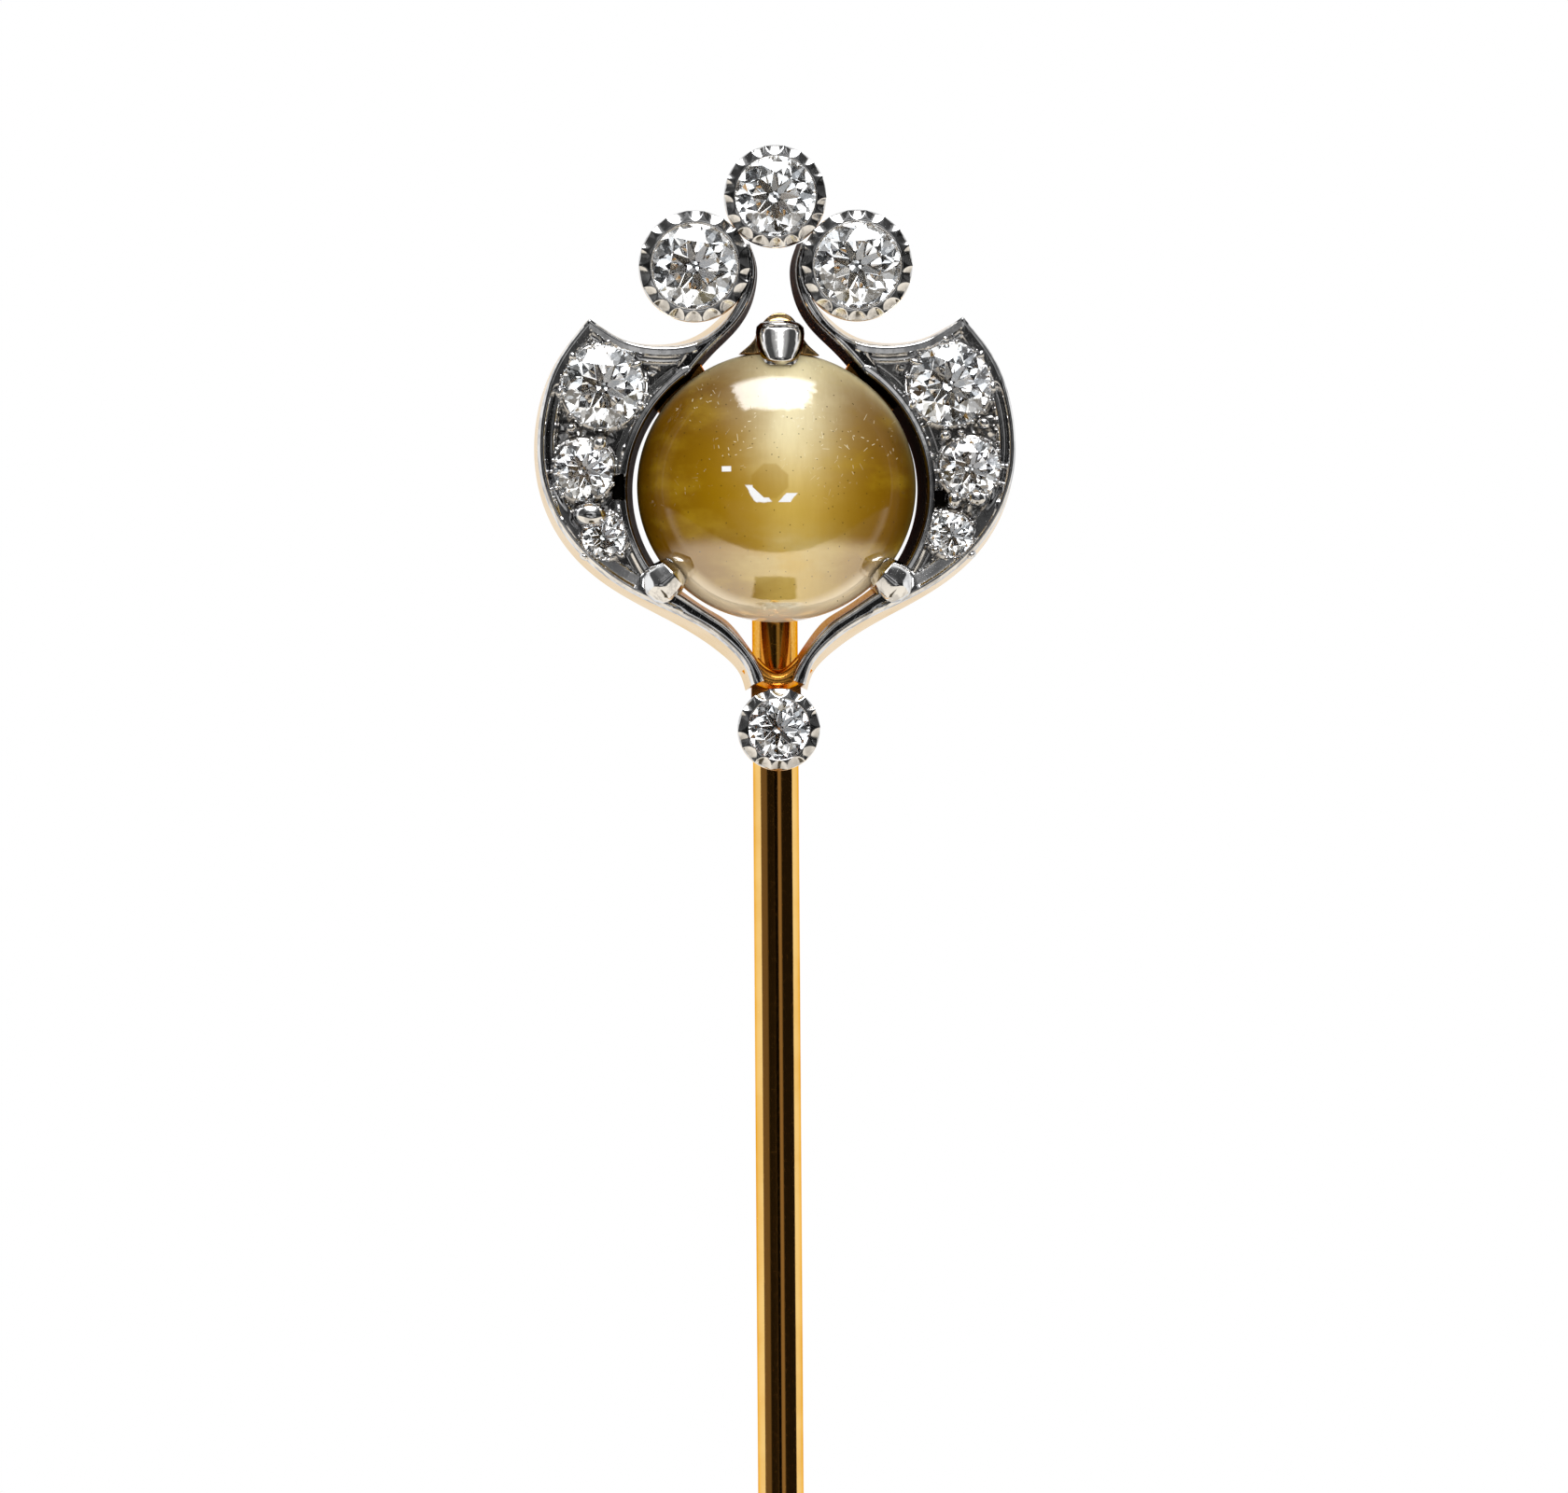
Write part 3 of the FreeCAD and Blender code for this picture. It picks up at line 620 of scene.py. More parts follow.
def wing_grains(side):
    """The raised grains beside a wing's stones, with small beads spaced round each stone."""
    shell, sign = Shell(), SIDES[side]
    spacing, offset, least_edge, least_gap = 0.34, 0.055, 0.16, 0.03
    for x, z, rx, rz, height, turn in GRAINS[side]:
        shell.include(bead(x, z, rx, rz, FIELD + 0.06, height, math.radians(sign * turn)))
    rng = random.Random(5 if side == "right" else 9)
    closed = np.vstack([FRONT_LOOP, FRONT_LOOP[:1]])
    stones = wing_stones(side)
    for x, z, r in stones:
        count = round(TAU * r / spacing)
        for k in range(count):
            turn = TAU * (k + rng.uniform(-0.3, 0.3)) / count
            size = rng.uniform(0.045, 0.085)
            bx, bz = x + (r + offset) * math.cos(turn), z + (r + offset) * math.sin(turn)
            gap = distance([(bx, bz)], closed)[0]
            others = min(math.dist((bx, bz), s[:2]) - s[2] for s in stones if s[:2] != (x, z))
            if gap > least_edge and others > least_gap:
                shell.include(bead(bx, bz, size, size * 0.85, GIRDLE, 0.07 + size * 0.5, turn, 8))
    return shell


def mirrored(shell):
    shell.points = [(-x, y, z) for x, y, z in shell.points]
    return shell


# ---------------------------------------------------------------- collets
# The hole behind a collet's stone, as a share of the stone's radius
COLLET_BORE = 0.80


def rim_stations(stone, outer):
    """A rim's outline as radius, depth, and the share of the way out over its face, or None off its face."""
    girdle, lip, fall, steps = 1.98, 2.17, 0.09, 12
    seat, opening, inner = stone + .006, 0.96 * stone, 0.985 * stone
    stations = [
        (COLLET_BORE * stone, PLATE_BACK, None), (seat, girdle - .05 * stone - .02, None),
        (seat, girdle + .01, None), (opening, girdle + 0.07, None),
        (opening, lip - .02, None), (opening + .01, lip - .005, None),
    ]
    for k in range(steps + 1):
        share = k / steps
        stations.append((inner + (outer - inner) * share, lip - fall * share ** 1.1, share))
    return stations + [(outer, depth, None) for depth in (1.94, 1.86, PLATE_BACK)]


def collet_rim(name):
    """A platinum rim with spoon-shaped bites cut into it from outside, and thin ridges left between them."""
    x, z, outer = node_disc("collet_rim_" + name)
    stone = node_disc("diamond_" + name)[2]
    bites_per_mm, per_bite, bite = 13.5, 20, 0.06
    count = 2 * round(bites_per_mm * outer / 2)
    rng = random.Random(sum(map(ord, name)))
    limits = (0.13, -0.13), (1.2, 0.75), (0.3, -0.3)
    shift, deep, lean = ([rng.uniform(low, high) for _ in range(count)] for high, low in limits)
    shell, rings = Shell(), []
    for radius, depth, share in rim_stations(stone, outer):
        ring = []
        for i in range(count * per_bite):
            k, u = divmod(i, per_bite)
            u = (u + 0.5) / per_bite * 2 - 1
            left, right = shift[k], shift[(k + 1) % count]
            turn = TAU * (k + (u + 1) / 2 + left + (right - left) * (u + 1) / 2) / count
            bowl = 0.0
            if share is not None:
                bowl = max(0.0, 1 - (u / 0.93) ** 2 - ((1 - share) / 0.95) ** 2) * (1 + lean[k] * u) * deep[k]
            r = radius - 0.03 * bowl * (share or 0) ** 3
            spot = x + r * math.cos(turn), bite * bowl - depth, z + r * math.sin(turn)
            # The scoops darken a little: tarnish with painted shade
            ring.append(shell.add(spot, 0.3 * bowl))
        rings.append(ring)
    shell.stack(rings + rings[:1])
    return shell


def collet_cup(name):
    """The gold cup behind a rim, a hair wider than the rim at its mouth."""
    x, z, outer = node_disc("collet_rim_" + name)
    back, _ = node_depths("collet_cup_" + name)
    stone = node_disc("diamond_" + name)[2]
    bore = COLLET_BORE * stone
    spread = 0.006
    profile = [
        (bore, back), (0.84 * outer, back), (0.93 * outer, 0.5 * (back + PLATE_BACK)),
        (outer + spread, PLATE_BACK - .10), (outer + spread, PLATE_BACK), (bore, PLATE_BACK),
    ]
    points = rounded(profile, 0.05)
    shell = lathe(points, facing(x + 0.006, z - 0.012), 128)
    first = list(range(128))
    last = list(range(len(shell.points) - 128, len(shell.points)))
    shell.join(last, first)
    return shell


# ---------------------------------------------------------------- cat's eye
def cabochon():
    """A high polished oval dome on a shallow belly."""
    low, high = node_box("cats_eye_cabochon")
    rx, rz = (high.x - low.x) / 2, (high.z - low.z) / 2
    base, top = node_depths("cats_eye_cabochon")
    flat = 2.0
    profile = [(0, base), (flat * 0.5, base), (flat, base)]
    for k in range(1, 13):
        t = math.pi / 2 * k / 12
        profile.append((flat + (rx - flat) * math.sin(t), base + (STONE_GIRDLE - base) * (1 - math.cos(t))))
    for k in range(1, 73):
        t = math.pi / 2 * k / 72
        profile.append((rx * math.cos(t), STONE_GIRDLE + (top - STONE_GIRDLE) * math.sin(t)))
    profile[-1] = (0, top)

    def place(u, v, depth):
        return u, -depth, STONE_Z + v * rz / rx

    return lathe(profile, place, 192)


# ---------------------------------------------------------------- stem and guard
def stem():
    """The round wire, its twisted grip and its long point."""
    radius, lower, corner, twists = 0.575, 0.56, 0.558, 2.5
    grip_top, grip_bottom, taper, tip = -21.0, -30.0, -35.0, -44.0
    heights = [(4.85, 0.0), (4.85, 0.30), (4.83, 0.38), (4.77, 0.46), (4.68, 0.52), (4.58, 0.548)]
    heights += [(h, radius) for h in np.linspace(4.4, 1.8, 14)] + [(0.0, radius)]
    heights += [(-h, radius) for h in np.linspace(2, 20.6, 10)]
    grip = np.linspace(grip_top + 0.4, grip_bottom - 0.4, 300)
    after = [(-31.5, lower), (-33.5, lower), (taper, lower)]
    for share in np.linspace(0.06, 0.985, 26):
        after.append((taper + (tip - taper) * share, lower * (1 - share ** 1.9) + 0.04 * share))
    after += [(tip + .05, 0.034), (tip + .015, 0.022), (tip, 0.0)]
    shell = Shell()
    rings = [stem_ring(shell, height, r) for height, r in heights]
    for height in grip:
        square = float(smooth(grip_top - height, -0.3, 0.5) * smooth(height - grip_bottom, -0.3, 0.5))
        turn = TAU * twists * (height - grip_bottom) / (grip_top - grip_bottom)
        r = radius if height > -25 else lower
        rings.append(stem_ring(shell, float(height), r + (corner - r) * square, square, turn))
    rings += [stem_ring(shell, height, r) for height, r in after]
    shell.stack(rings)
    return shell


def stem_ring(shell, height, radius, square=0.0, turn=0.0, segments=96):
    """One ring of the stem. A share of square presses four flats into it."""
    if radius < 1e-6:
        return [shell.add((0, 0, height))]
    ring = []
    for k in range(segments):
        angle = TAU * k / segments
        side = (angle - turn) % (TAU / 4) - TAU / 8
        flat = min(1.0, 0.79 / math.cos(side)) if abs(side) < TAU / 8 else 1.0
        r = radius * (1 + (flat - 1) * square)
        # From 1.5 mm up, where it runs into the head, the stem turns a deeper, rougher gold
        head_tone = 0.3 * float(smooth(height, 1.5, 2.3))
        ring.append(shell.add((r * math.cos(angle), r * math.sin(angle), height), head_tone))
    return ring


def tail_web():
    """The gold web that joins the feet of the tails in front of the stem, thick and sagging between them."""
    half_width, low_z, rise, depth = 0.68, 2.24, 0.42, 1.22
    half_height, half_depth = 0.27, 0.40
    count, around = 28, 40
    shell, rings = Shell(), []
    for i in range(count + 1):
        t = i / count * 2 - 1
        dx, dz = half_width, 2 * rise * t
        size = math.hypot(dx, dz)
        px, pz = half_width * t, low_z + rise * t * t
        ring = []
        for k in range(around):
            turn = TAU * k / around
            up, front = half_height * math.cos(turn), half_depth * math.sin(turn)
            ring.append((px - up * dz / size, -(depth + front), pz + up * dx / size))
        rings.append(shell.ring(ring))
    shell.stack(rings)
    shell.face(rings[0])
    shell.face(rings[-1][::-1])
    return shell


def guard_barrel():
    """The guard's barrel: a rounded closed end, fine turned rings and an open mouth."""
    low, high = node_box("guard_barrel")
    r, end, mouth = (high.x - low.x) / 2, low.z, high.z
    profile = [(0, end), (0.8, end), (1.25, end + 0.22), (r, end + 0.7)]
    for z in (end + 1.5, end + 1.85, mouth - 0.9, mouth - 0.55):
        profile += [(r, z - 0.09), (r - 0.07, z), (r, z + 0.09)]
    profile += [(r, mouth), (1.2, mouth), (1.2, end + 1.0), (0, end + 1.0)]
    return lathe(rounded(profile, 0.06), upright, 128)


def guard_collar():
    """The ribbed ring round the guard's mouth."""
    low, high = node_box("guard_collar")
    r, bottom, top = (high.x - low.x) / 2, low.z, high.z
    bore = 0.78
    profile = [(bore, bottom), (r, bottom), (r, top - 0.15), (r - 0.15, top), (bore, top)]
    points = rounded(profile, 0.07, 5)
    ribs, per_rib = 30, 12
    shell, rings = Shell(), []
    for radius, height in points:
        ring = []
        share = float(smooth(height, bottom, bottom + 0.12) * (1 - smooth(height, top - 0.16, top)))
        for k in range(ribs * per_rib):
            u = (k % per_rib) / per_rib * 2 - 1
            dip = max(0.0, 1 - (abs(u) / 0.62) ** 2) * 0.085 * share * (radius > r - 0.2)
            turn = TAU * k / (ribs * per_rib)
            out = radius - dip
            # The rib grooves darken: tarnish with painted shade
            ring.append(shell.add((out * math.cos(turn), out * math.sin(turn), height), dip * 6))
        rings.append(ring)
    shell.stack(rings + rings[:1])
    return shell


# ---------------------------------------------------------------- claws and small gold work
# Each claw's angle round the stone, then its half widths by distance from the stone's axis
TOP_CLAW = [
    (3.04, .30), (3.09, .38), (3.20, .45), (3.40, .54), (3.60, .59), (3.85, .61), (4.00, .59), (4.10, .48),
    (4.16, .30),
]
LOWER_CLAW = [
    (3.24, .30), (3.28, .36), (3.40, .42), (3.65, .48), (3.90, .50), (4.08, .44), (4.20, .30), (4.25, .12),
]
CLAWS = {
    "top": (88.6, TOP_CLAW),
    "lower_left": (219.0, LOWER_CLAW),
    "lower_right": (320.5, LOWER_CLAW),
}
CLAW_FRONT, CLAW_SPLIT = 2.86, 2.0


def top_claw_drop(r, near, far, v):
    """How far the top claw's face lies behind its highest point. It leans back and is rounded."""
    bevel = 0.17 * (1 - min(1.0, (r - near) / 0.10)) ** 1.5
    lean = 0.45 * max(0.0, r - 3.2)
    notch = 0.06 * math.exp(-((r - 4.0) / 0.03) ** 2)
    heel = 0.16 * max(0.0, (r - 4.05) / (far - 4.05)) ** 2
    across = 0.28 * v * v + 0.20 * v ** 6
    return bevel + lean + notch + heel + across


def lower_claw_drop(r, near, far, v):
    """The same for a lower claw: a ridge along it, a broad face below and a steep one above."""
    bevel = 0.24 * (1 - min(1.0, (r - near) / 0.20)) ** 1.3
    heel = 0.42 * max(0.0, (r - 3.78) / (far - 3.78)) ** 2.2
    side = v + 0.05
    slope = 0.40 if side > 0 else 0.25
    across = slope * (math.hypot(side, 0.15) - 0.15) + 0.10 * abs(v) ** 9
    return bevel + heel + across


def claw_tip(name):
    """A claw's platinum end, pressed down on the stone."""
    angle, widths = CLAWS[name]
    distances, halves = zip(*widths)
    near, far = distances[0], distances[-1]
    rise = node_depths("cats_eye_cabochon")[1] - STONE_GIRDLE
    along_count, across_count = 48, 32
    drop = top_claw_drop if name == "top" else lower_claw_drop
    flip = -1 if name == "lower_left" else 1
    turn = math.radians(angle)

    def stone_depth(r):
        return STONE_GIRDLE + rise * math.sqrt(max(0.0, 1 - (r / STONE_R) ** 2)) if r < STONE_R else 0.0

    def spot(r, across, depth):
        x, z = r * math.cos(turn) - across * math.sin(turn), r * math.sin(turn) + across * math.cos(turn)
        return x, -depth, STONE_Z + z

    tops, bottoms = [], []
    shell = Shell()
    for i in range(along_count + 1):
        r = near + (far - near) * (1 - math.cos(math.pi * i / along_count)) / 2
        half = float(np.interp(r, distances, halves))
        row, under = [], []
        for j in range(across_count + 1):
            v = math.sin((j / across_count * 2 - 1) * math.pi / 2)
            floor = max(CLAW_SPLIT, stone_depth(math.hypot(r, half * v)) + 0.004)
            top = max(CLAW_FRONT - drop(r, near, far, v * flip), floor + 0.03)
            row.append(shell.add(spot(r, half * v, top)))
            # The underside, pressed on the stone, darkens as painted shade
            under.append(shell.add(spot(r, half * v, floor), 0.3))
        tops.append(row)
        bottoms.append(under)
    for a in range(along_count):
        for j in range(across_count):
            shell.face((tops[a][j], tops[a][j + 1], tops[a + 1][j + 1], tops[a + 1][j]))
            shell.face((bottoms[a][j], bottoms[a + 1][j], bottoms[a + 1][j + 1], bottoms[a][j + 1]))
    shell.join(outline_of(tops), outline_of(bottoms))
    return shell


def outline_of(rows):
    """The border of a grid of points, once round."""
    return rows[0] + [row[-1] for row in rows[1:-1]] + rows[-1][::-1] + [row[0] for row in rows[-2:0:-1]]


def softened(node, voxel, rounds, material):
    """A node's own shape with its edges worn round, by remeshing it at a fine pitch."""
    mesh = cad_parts[node].data.copy()
    mesh.transform(Matrix.Scale(1 / MM, 4))
    work = bmesh.new()
    work.from_mesh(mesh)
    bmesh.ops.remove_doubles(work, verts=work.verts, dist=0.0005)
    work.to_mesh(mesh)
    work.free()
    draft = bpy.data.objects.new("draft", mesh)
    bpy.context.scene.collection.objects.link(draft)
    remesh = draft.modifiers.new("remesh", "REMESH")
    remesh.mode, remesh.voxel_size, remesh.use_smooth_shade = "VOXEL", voxel, True
    relax = draft.modifiers.new("relax", "SMOOTH")
    relax.factor, relax.iterations = 0.5, rounds
    bpy.context.view_layer.update()
    graph = bpy.context.evaluated_depsgraph_get()
    final = bpy.data.meshes.new_from_object(draft.evaluated_get(graph), depsgraph=graph)
    bpy.data.objects.remove(draft)
    final.transform(Matrix.Scale(MM, 4))
    final.name = node + "_worn"
    place_piece(node + "_worn", final, material, node)


def dress(node, material):
    """Gives a CAD node that keeps its shape a material of its own."""
    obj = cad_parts[node]
    obj.data.materials.clear()
    obj.data.materials.append(material)
    return obj


def edge_softened(node, material, width=0.025):
    """Keeps a CAD node, with its edges rounded by a bevel."""
    obj = dress(node, material)
    weld = obj.modifiers.new("weld", "WELD")
    weld.merge_threshold = 2e-6
    bevel = obj.modifiers.new("bevel", "BEVEL")
    bevel.width, bevel.segments, bevel.limit_method = width * MM, 2, "ANGLE"
    bevel.angle_limit = math.radians(35)


# ---------------------------------------------------------------- shader helpers
class Value:
    """A number inside a shader, which takes ordinary arithmetic."""

    def __init__(self, graph, socket):
        self.graph, self.socket = graph, socket

    def __add__(self, other):
        return self.graph.math("ADD", self, other)

    def __mul__(self, other):
        return self.graph.math("MULTIPLY", self, other)

    def __sub__(self, other):
        return self.graph.math("SUBTRACT", self, other)

    def __rsub__(self, other):
        return self.graph.math("SUBTRACT", other, self)

    def __truediv__(self, other):
        return self.graph.math("DIVIDE", self, other)

    def __abs__(self):
        return self.graph.math("ABSOLUTE", self)

    __radd__, __rmul__ = __add__, __mul__


class Graph:
    """Builds a node tree from short calls, which take and return values, colours and directions."""

    def __init__(self, owner):
        owner.use_nodes = True
        self.tree = owner.node_tree
        self.tree.nodes.clear()

    def put(self, socket, value):
        if isinstance(value, Value):
            self.tree.links.new(value.socket, socket)
        elif hasattr(value, "__len__") and len(value) < len(socket.default_value):
            socket.default_value = (*value, 1)
        else:
            socket.default_value = value

    def make(self, kind, settings=None, **inputs):
        node = self.tree.nodes.new("ShaderNode" + kind)
        for key, value in (settings or {}).items():
            setattr(node, key, value)
        for key, value in inputs.items():
            self.put(node.inputs[key.replace("_", " ")], value)
        return node

    def node(self, kind, settings=None, output=0, **inputs):
        return Value(self, self.make(kind, settings, **inputs).outputs[output])

    def operate(self, kind, settings, *values):
        """A node whose inputs go by their places, because several share a name."""
        node = self.make(kind, settings)
        for place, value in values:
            self.put(node.inputs[place], value)
        return node

    def math(self, operation, *values):
        node = self.operate("Math", {"operation": operation}, *enumerate(values))
        return Value(self, node.outputs[0])

    def vector(self, operation, a, b):
        second = 3 if operation == "SCALE" else 1
        node = self.operate("VectorMath", {"operation": operation}, (0, a), (second, b))
        return Value(self, node.outputs[0])

    def mix(self, share, a, b, blend="MIX"):
        settings = {"data_type": "RGBA", "blend_type": blend, "clamp_result": False}
        node = self.operate("Mix", settings, (0, share), (6, a), (7, b))
        return Value(self, node.outputs[2])

    def step(self, value, low, high):
        """Smooth rise from 0 at low to 1 at high. It falls where high is the lower of the two."""
        settings = {"interpolation_type": "SMOOTHSTEP"}
        limits = {"From_Min": min(low, high), "From_Max": max(low, high)}
        result = self.node("MapRange", settings, Value=value, **limits)
        return 1.0 - result if low > high else result

    def bump(self, value, centre, reach, soft=0.5):
        """1 where value is within reach of centre, with soft sides."""
        return self.step(abs(value - centre), reach * (1 + soft), reach * (1 - soft))

    def bell(self, value, centre, spread):
        scaled = (value - centre) / spread
        return self.math("EXPONENT", scaled * scaled * -1.0)

    def split(self, vector):
        node = self.make("SeparateXYZ", Vector=vector)
        return [Value(self, output) for output in node.outputs]

    def join(self, x, y, z=0.0):
        return self.node("CombineXYZ", X=x, Y=y, Z=z)

    def texture_space(self, kind):
        return self.node("TexCoord", output=kind)

    def position(self):
        """Object coordinates in millimetres."""
        return self.vector("SCALE", self.texture_space("Object"), 1 / MM)

    def noise(self, vector, scale, detail=2.0, rough=0.5):
        return self.node("TexNoise", Vector=vector, Scale=scale, Detail=detail, Roughness=rough)

    def stretched(self, vector, scale):
        return self.node("Mapping", Vector=vector, Scale=scale)

    def scratches(self, vector, scale, length, width, chance):
        """Short straight strokes at random places and turns in a plane, as a 0 to 1 mask."""
        cells = self.make("TexVoronoi", {"voronoi_dimensions": "2D"}, Vector=vector, Scale=scale)
        centre, random_colour = (Value(self, cells.outputs[n]) for n in ("Position", "Color"))
        x, y, _ = self.split(self.vector("SUBTRACT", vector, centre))
        for_turn, for_pick, for_size = self.split(random_colour)
        turn = for_turn * TAU
        c, s = self.math("COSINE", turn), self.math("SINE", turn)
        along, across = abs(x * c + y * s), abs(y * c - x * s)
        thin = self.step(across, width, width * 0.3)
        short = self.step(along, length, length * 0.6)
        scaled = self.math("LESS_THAN", along, (for_size * 0.8 + 0.2) * length)
        picked = self.math("LESS_THAN", for_pick, chance)
        return thin * short * scaled * picked

    def finish(self, kind, shader):
        self.tree.links.new(shader.outputs[0], self.make(kind).inputs["Surface"])


def new_material(name):
    material = bpy.data.materials.new(name)
    return material, Graph(material)


# ---------------------------------------------------------------- materials
# Warm and dark colours that hollows take, tarnish with painted shade: orange and brown on gold, a dark grey
# on platinum
BROWN, ORANGE, GREY_TARNISH_SHADE = (0.075, 0.026, 0.008), (0.62, 0.36, 0.12), (0.10, 0.08, 0.06)
EVEN, UPRIGHT_WIPE = (5.0, 5.0, 5.0), (3.0, 3.0, 7.0)
# The second colour is near black, painted as the shadow in the recess
PATINA, PAINTED_HOLE_SHADOW = (0.27, 0.27, 0.28), (0.006, 0.005, 0.004)
WHITE = (1.0, 1.0, 1.0)

# Each metal's colour, its darker tone for random patches, roughness, wiping grain, the warm and the dark
# colours of its hollows (tarnish with painted shade), and its extras
METALS = {
    "stem_gold": (
        (0.95, 0.62, 0.22), (0.90, 0.55, 0.17), 0.07, (9.0, 9.0, 0.35), (0.78, 0.36, 0.04), BROWN,
        {"deep": (0.92, 0.42, 0.09)},
    ),
    "wing_gold": ((0.92, 0.81, 0.66), (0.89, 0.76, 0.58), 0.12, (4.0, 4.0, 4.0), ORANGE, BROWN, {}),
    "gallery_gold": (
        (0.62, 0.33, 0.09), (0.45, 0.20, 0.04), 0.16, EVEN, ORANGE, BROWN,
        {"deep": (0.55, 0.24, 0.05), "relief": 0.05},
    ),
    "claw_gold": ((0.56, 0.37, 0.17), (0.42, 0.25, 0.10), 0.16, EVEN, ORANGE, BROWN, {"relief": 0.05}),
    "web_gold": (
        (0.90, 0.48, 0.10), (0.80, 0.38, 0.07), 0.14, EVEN, ORANGE, BROWN,
        {"deep": (0.95, 0.42, 0.07), "relief": 0.05},
    ),
    "platinum": (
        (0.88, 0.87, 0.86), (0.80, 0.79, 0.78), 0.07, UPRIGHT_WIPE, (0.46, 0.45, 0.44), GREY_TARNISH_SHADE,
        {"relief": 0.04},
    ),
    "aged_platinum": (
        (0.88, 0.88, 0.88), (0.76, 0.76, 0.77), 0.07, UPRIGHT_WIPE, (0.40, 0.39, 0.38), GREY_TARNISH_SHADE,
        {"patina": 0.40, "relief": 0.05},
    ),
    "gilt_brass": (
        (0.86, 0.60, 0.25), (0.80, 0.52, 0.19), 0.13, (2.0, 2.0, 9.0), (0.50, 0.28, 0.09),
        (0.10, 0.06, 0.02), {},
    ),
}


def metal(name):
    """A polished metal with tone changes, wiping marks and fine scratches, tarnish with painted shade in its
    hollows, and for some golds a deeper tint painted into dim reflections.
    """
    colour, shade, roughness, grain, warm, tarnish_shade_colour, extras = METALS[name]
    material, g = new_material(name)
    place = g.position()
    wipe = g.noise(g.stretched(place, grain), 1.0, 4, 0.6)
    fine = g.noise(place, 14.0, 3, 0.6)
    marks = surface_marks(g, place)
    # Tarnish in hollows with painted shade in shaded places, read from the point attribute
    groove = g.node("Attribute", {"attribute_name": "groove"}, "Fac")
    hollow = groove * (0.6 + g.step(fine, 0.25, 0.65) * 0.4)
    tint = g.mix(g.step(g.noise(place, 0.9, 3), 0.35, 0.7), colour, shade)
    dull = g.step(g.noise(g.stretched(place, (1.0, 1.0, 0.6)), 3.4, 3, 0.6), 0.44, 0.60)
    tint = g.mix(dull * extras.get("patina", 0.0), tint, PATINA)
    # Painted shade in the reflection: where the polish mirrors the dim room in front, the colour turns a
    # deeper tint
    if "deep" in extras:
        ahead = g.split(g.texture_space("Reflection"))[1]
        tint = g.mix(g.step(ahead, -0.04, -0.14), tint, extras["deep"])
    tint = in_hollows(g, tint, hollow, groove, warm, tarnish_shade_colour)
    rough = roughness + wipe * (roughness * 0.5) + marks * 0.12 + hollow * 0.25
    height = wipe * 0.6 + fine * 0.25 + marks * -0.5
    relief = extras.get("relief", 0.02)
    normal = g.node("Bump", Strength=relief, Distance=MM * 0.05, Height=height)
    shader = g.make("BsdfPrincipled", Base_Color=tint, Metallic=1.0, Roughness=rough, Normal=normal)
    g.put(shader.inputs["Specular Tint"], tint)
    g.finish("OutputMaterial", shader)
    return material


def surface_marks(g, place):
    """Two sets of fine scratches seen from the front."""
    x, y, z = g.split(place)
    marks = g.scratches(g.join(x, z, y), 3.2, 0.16, 0.006, 0.8)
    cross = g.scratches(g.join(x + 31.7, z + 11.3, y), 5.1, 0.10, 0.005, 0.8)
    return g.math("MAXIMUM", marks, cross)


def in_hollows(g, tint, hollow, groove, warm, tarnish_shade_colour):
    """Hollows and shaded places turn warm, then dark: partly tarnish, partly painted shade. The recess is
    painted black as its shadow.
    """
    tint = g.mix(g.step(hollow, 0.0, 0.4), tint, warm)
    tint = g.mix(g.step(hollow, 0.38, 0.62), tint, tarnish_shade_colour)
    return g.mix(g.step(groove, 1.0, 1.5), tint, PAINTED_HOLE_SHADOW)


def diamond_material():
    """Clear cut stone with a faint cool cast."""
    material, g = new_material("diamond")
    tint = g.mix(g.noise(g.position(), 1.7, 2), WHITE, (0.985, 0.992, 1.0))
    g.finish("OutputMaterial", g.make("BsdfGlass", Color=tint, Roughness=0.0, IOR=2.417))
    return material


def cats_eye_material():
    """Honey-coloured chrysoberyl: silk that gathers in an upright band, wisps, pits and worn polish."""
    material, g = new_material("cats_eye")
    place = g.position()
    x, _, z = g.split(place)
    z = z - STONE_Z
    reach = g.math("SQRT", x * x + z * z)
    reflected = g.split(g.texture_space("Reflection"))
    lens = lens_distance(g, reflected[0], reflected[2])
    body = silky_body(g, place, x, z, reach, reflected[0], lens)
    body, worn = marked_body(g, body, place, x, z, reach)
    body = g.mix(window_glints(g, reflected, lens), body, WHITE)
    relief = g.noise(place, 6, 3) * 0.5 + worn
    surface = g.node("Bump", Strength=0.25, Distance=MM * 0.01, Height=relief)
    inner = g.node("BsdfDiffuse", Color=body)
    polish = {"Color": polish_tint(g, reflected, z), "Roughness": 0.03, "Normal": surface}
    gloss = g.node("BsdfAnisotropic", {"distribution": "GGX"}, **polish)
    g.finish("OutputMaterial", g.operate("AddShader", {}, (0, inner), (1, gloss)))
    return material


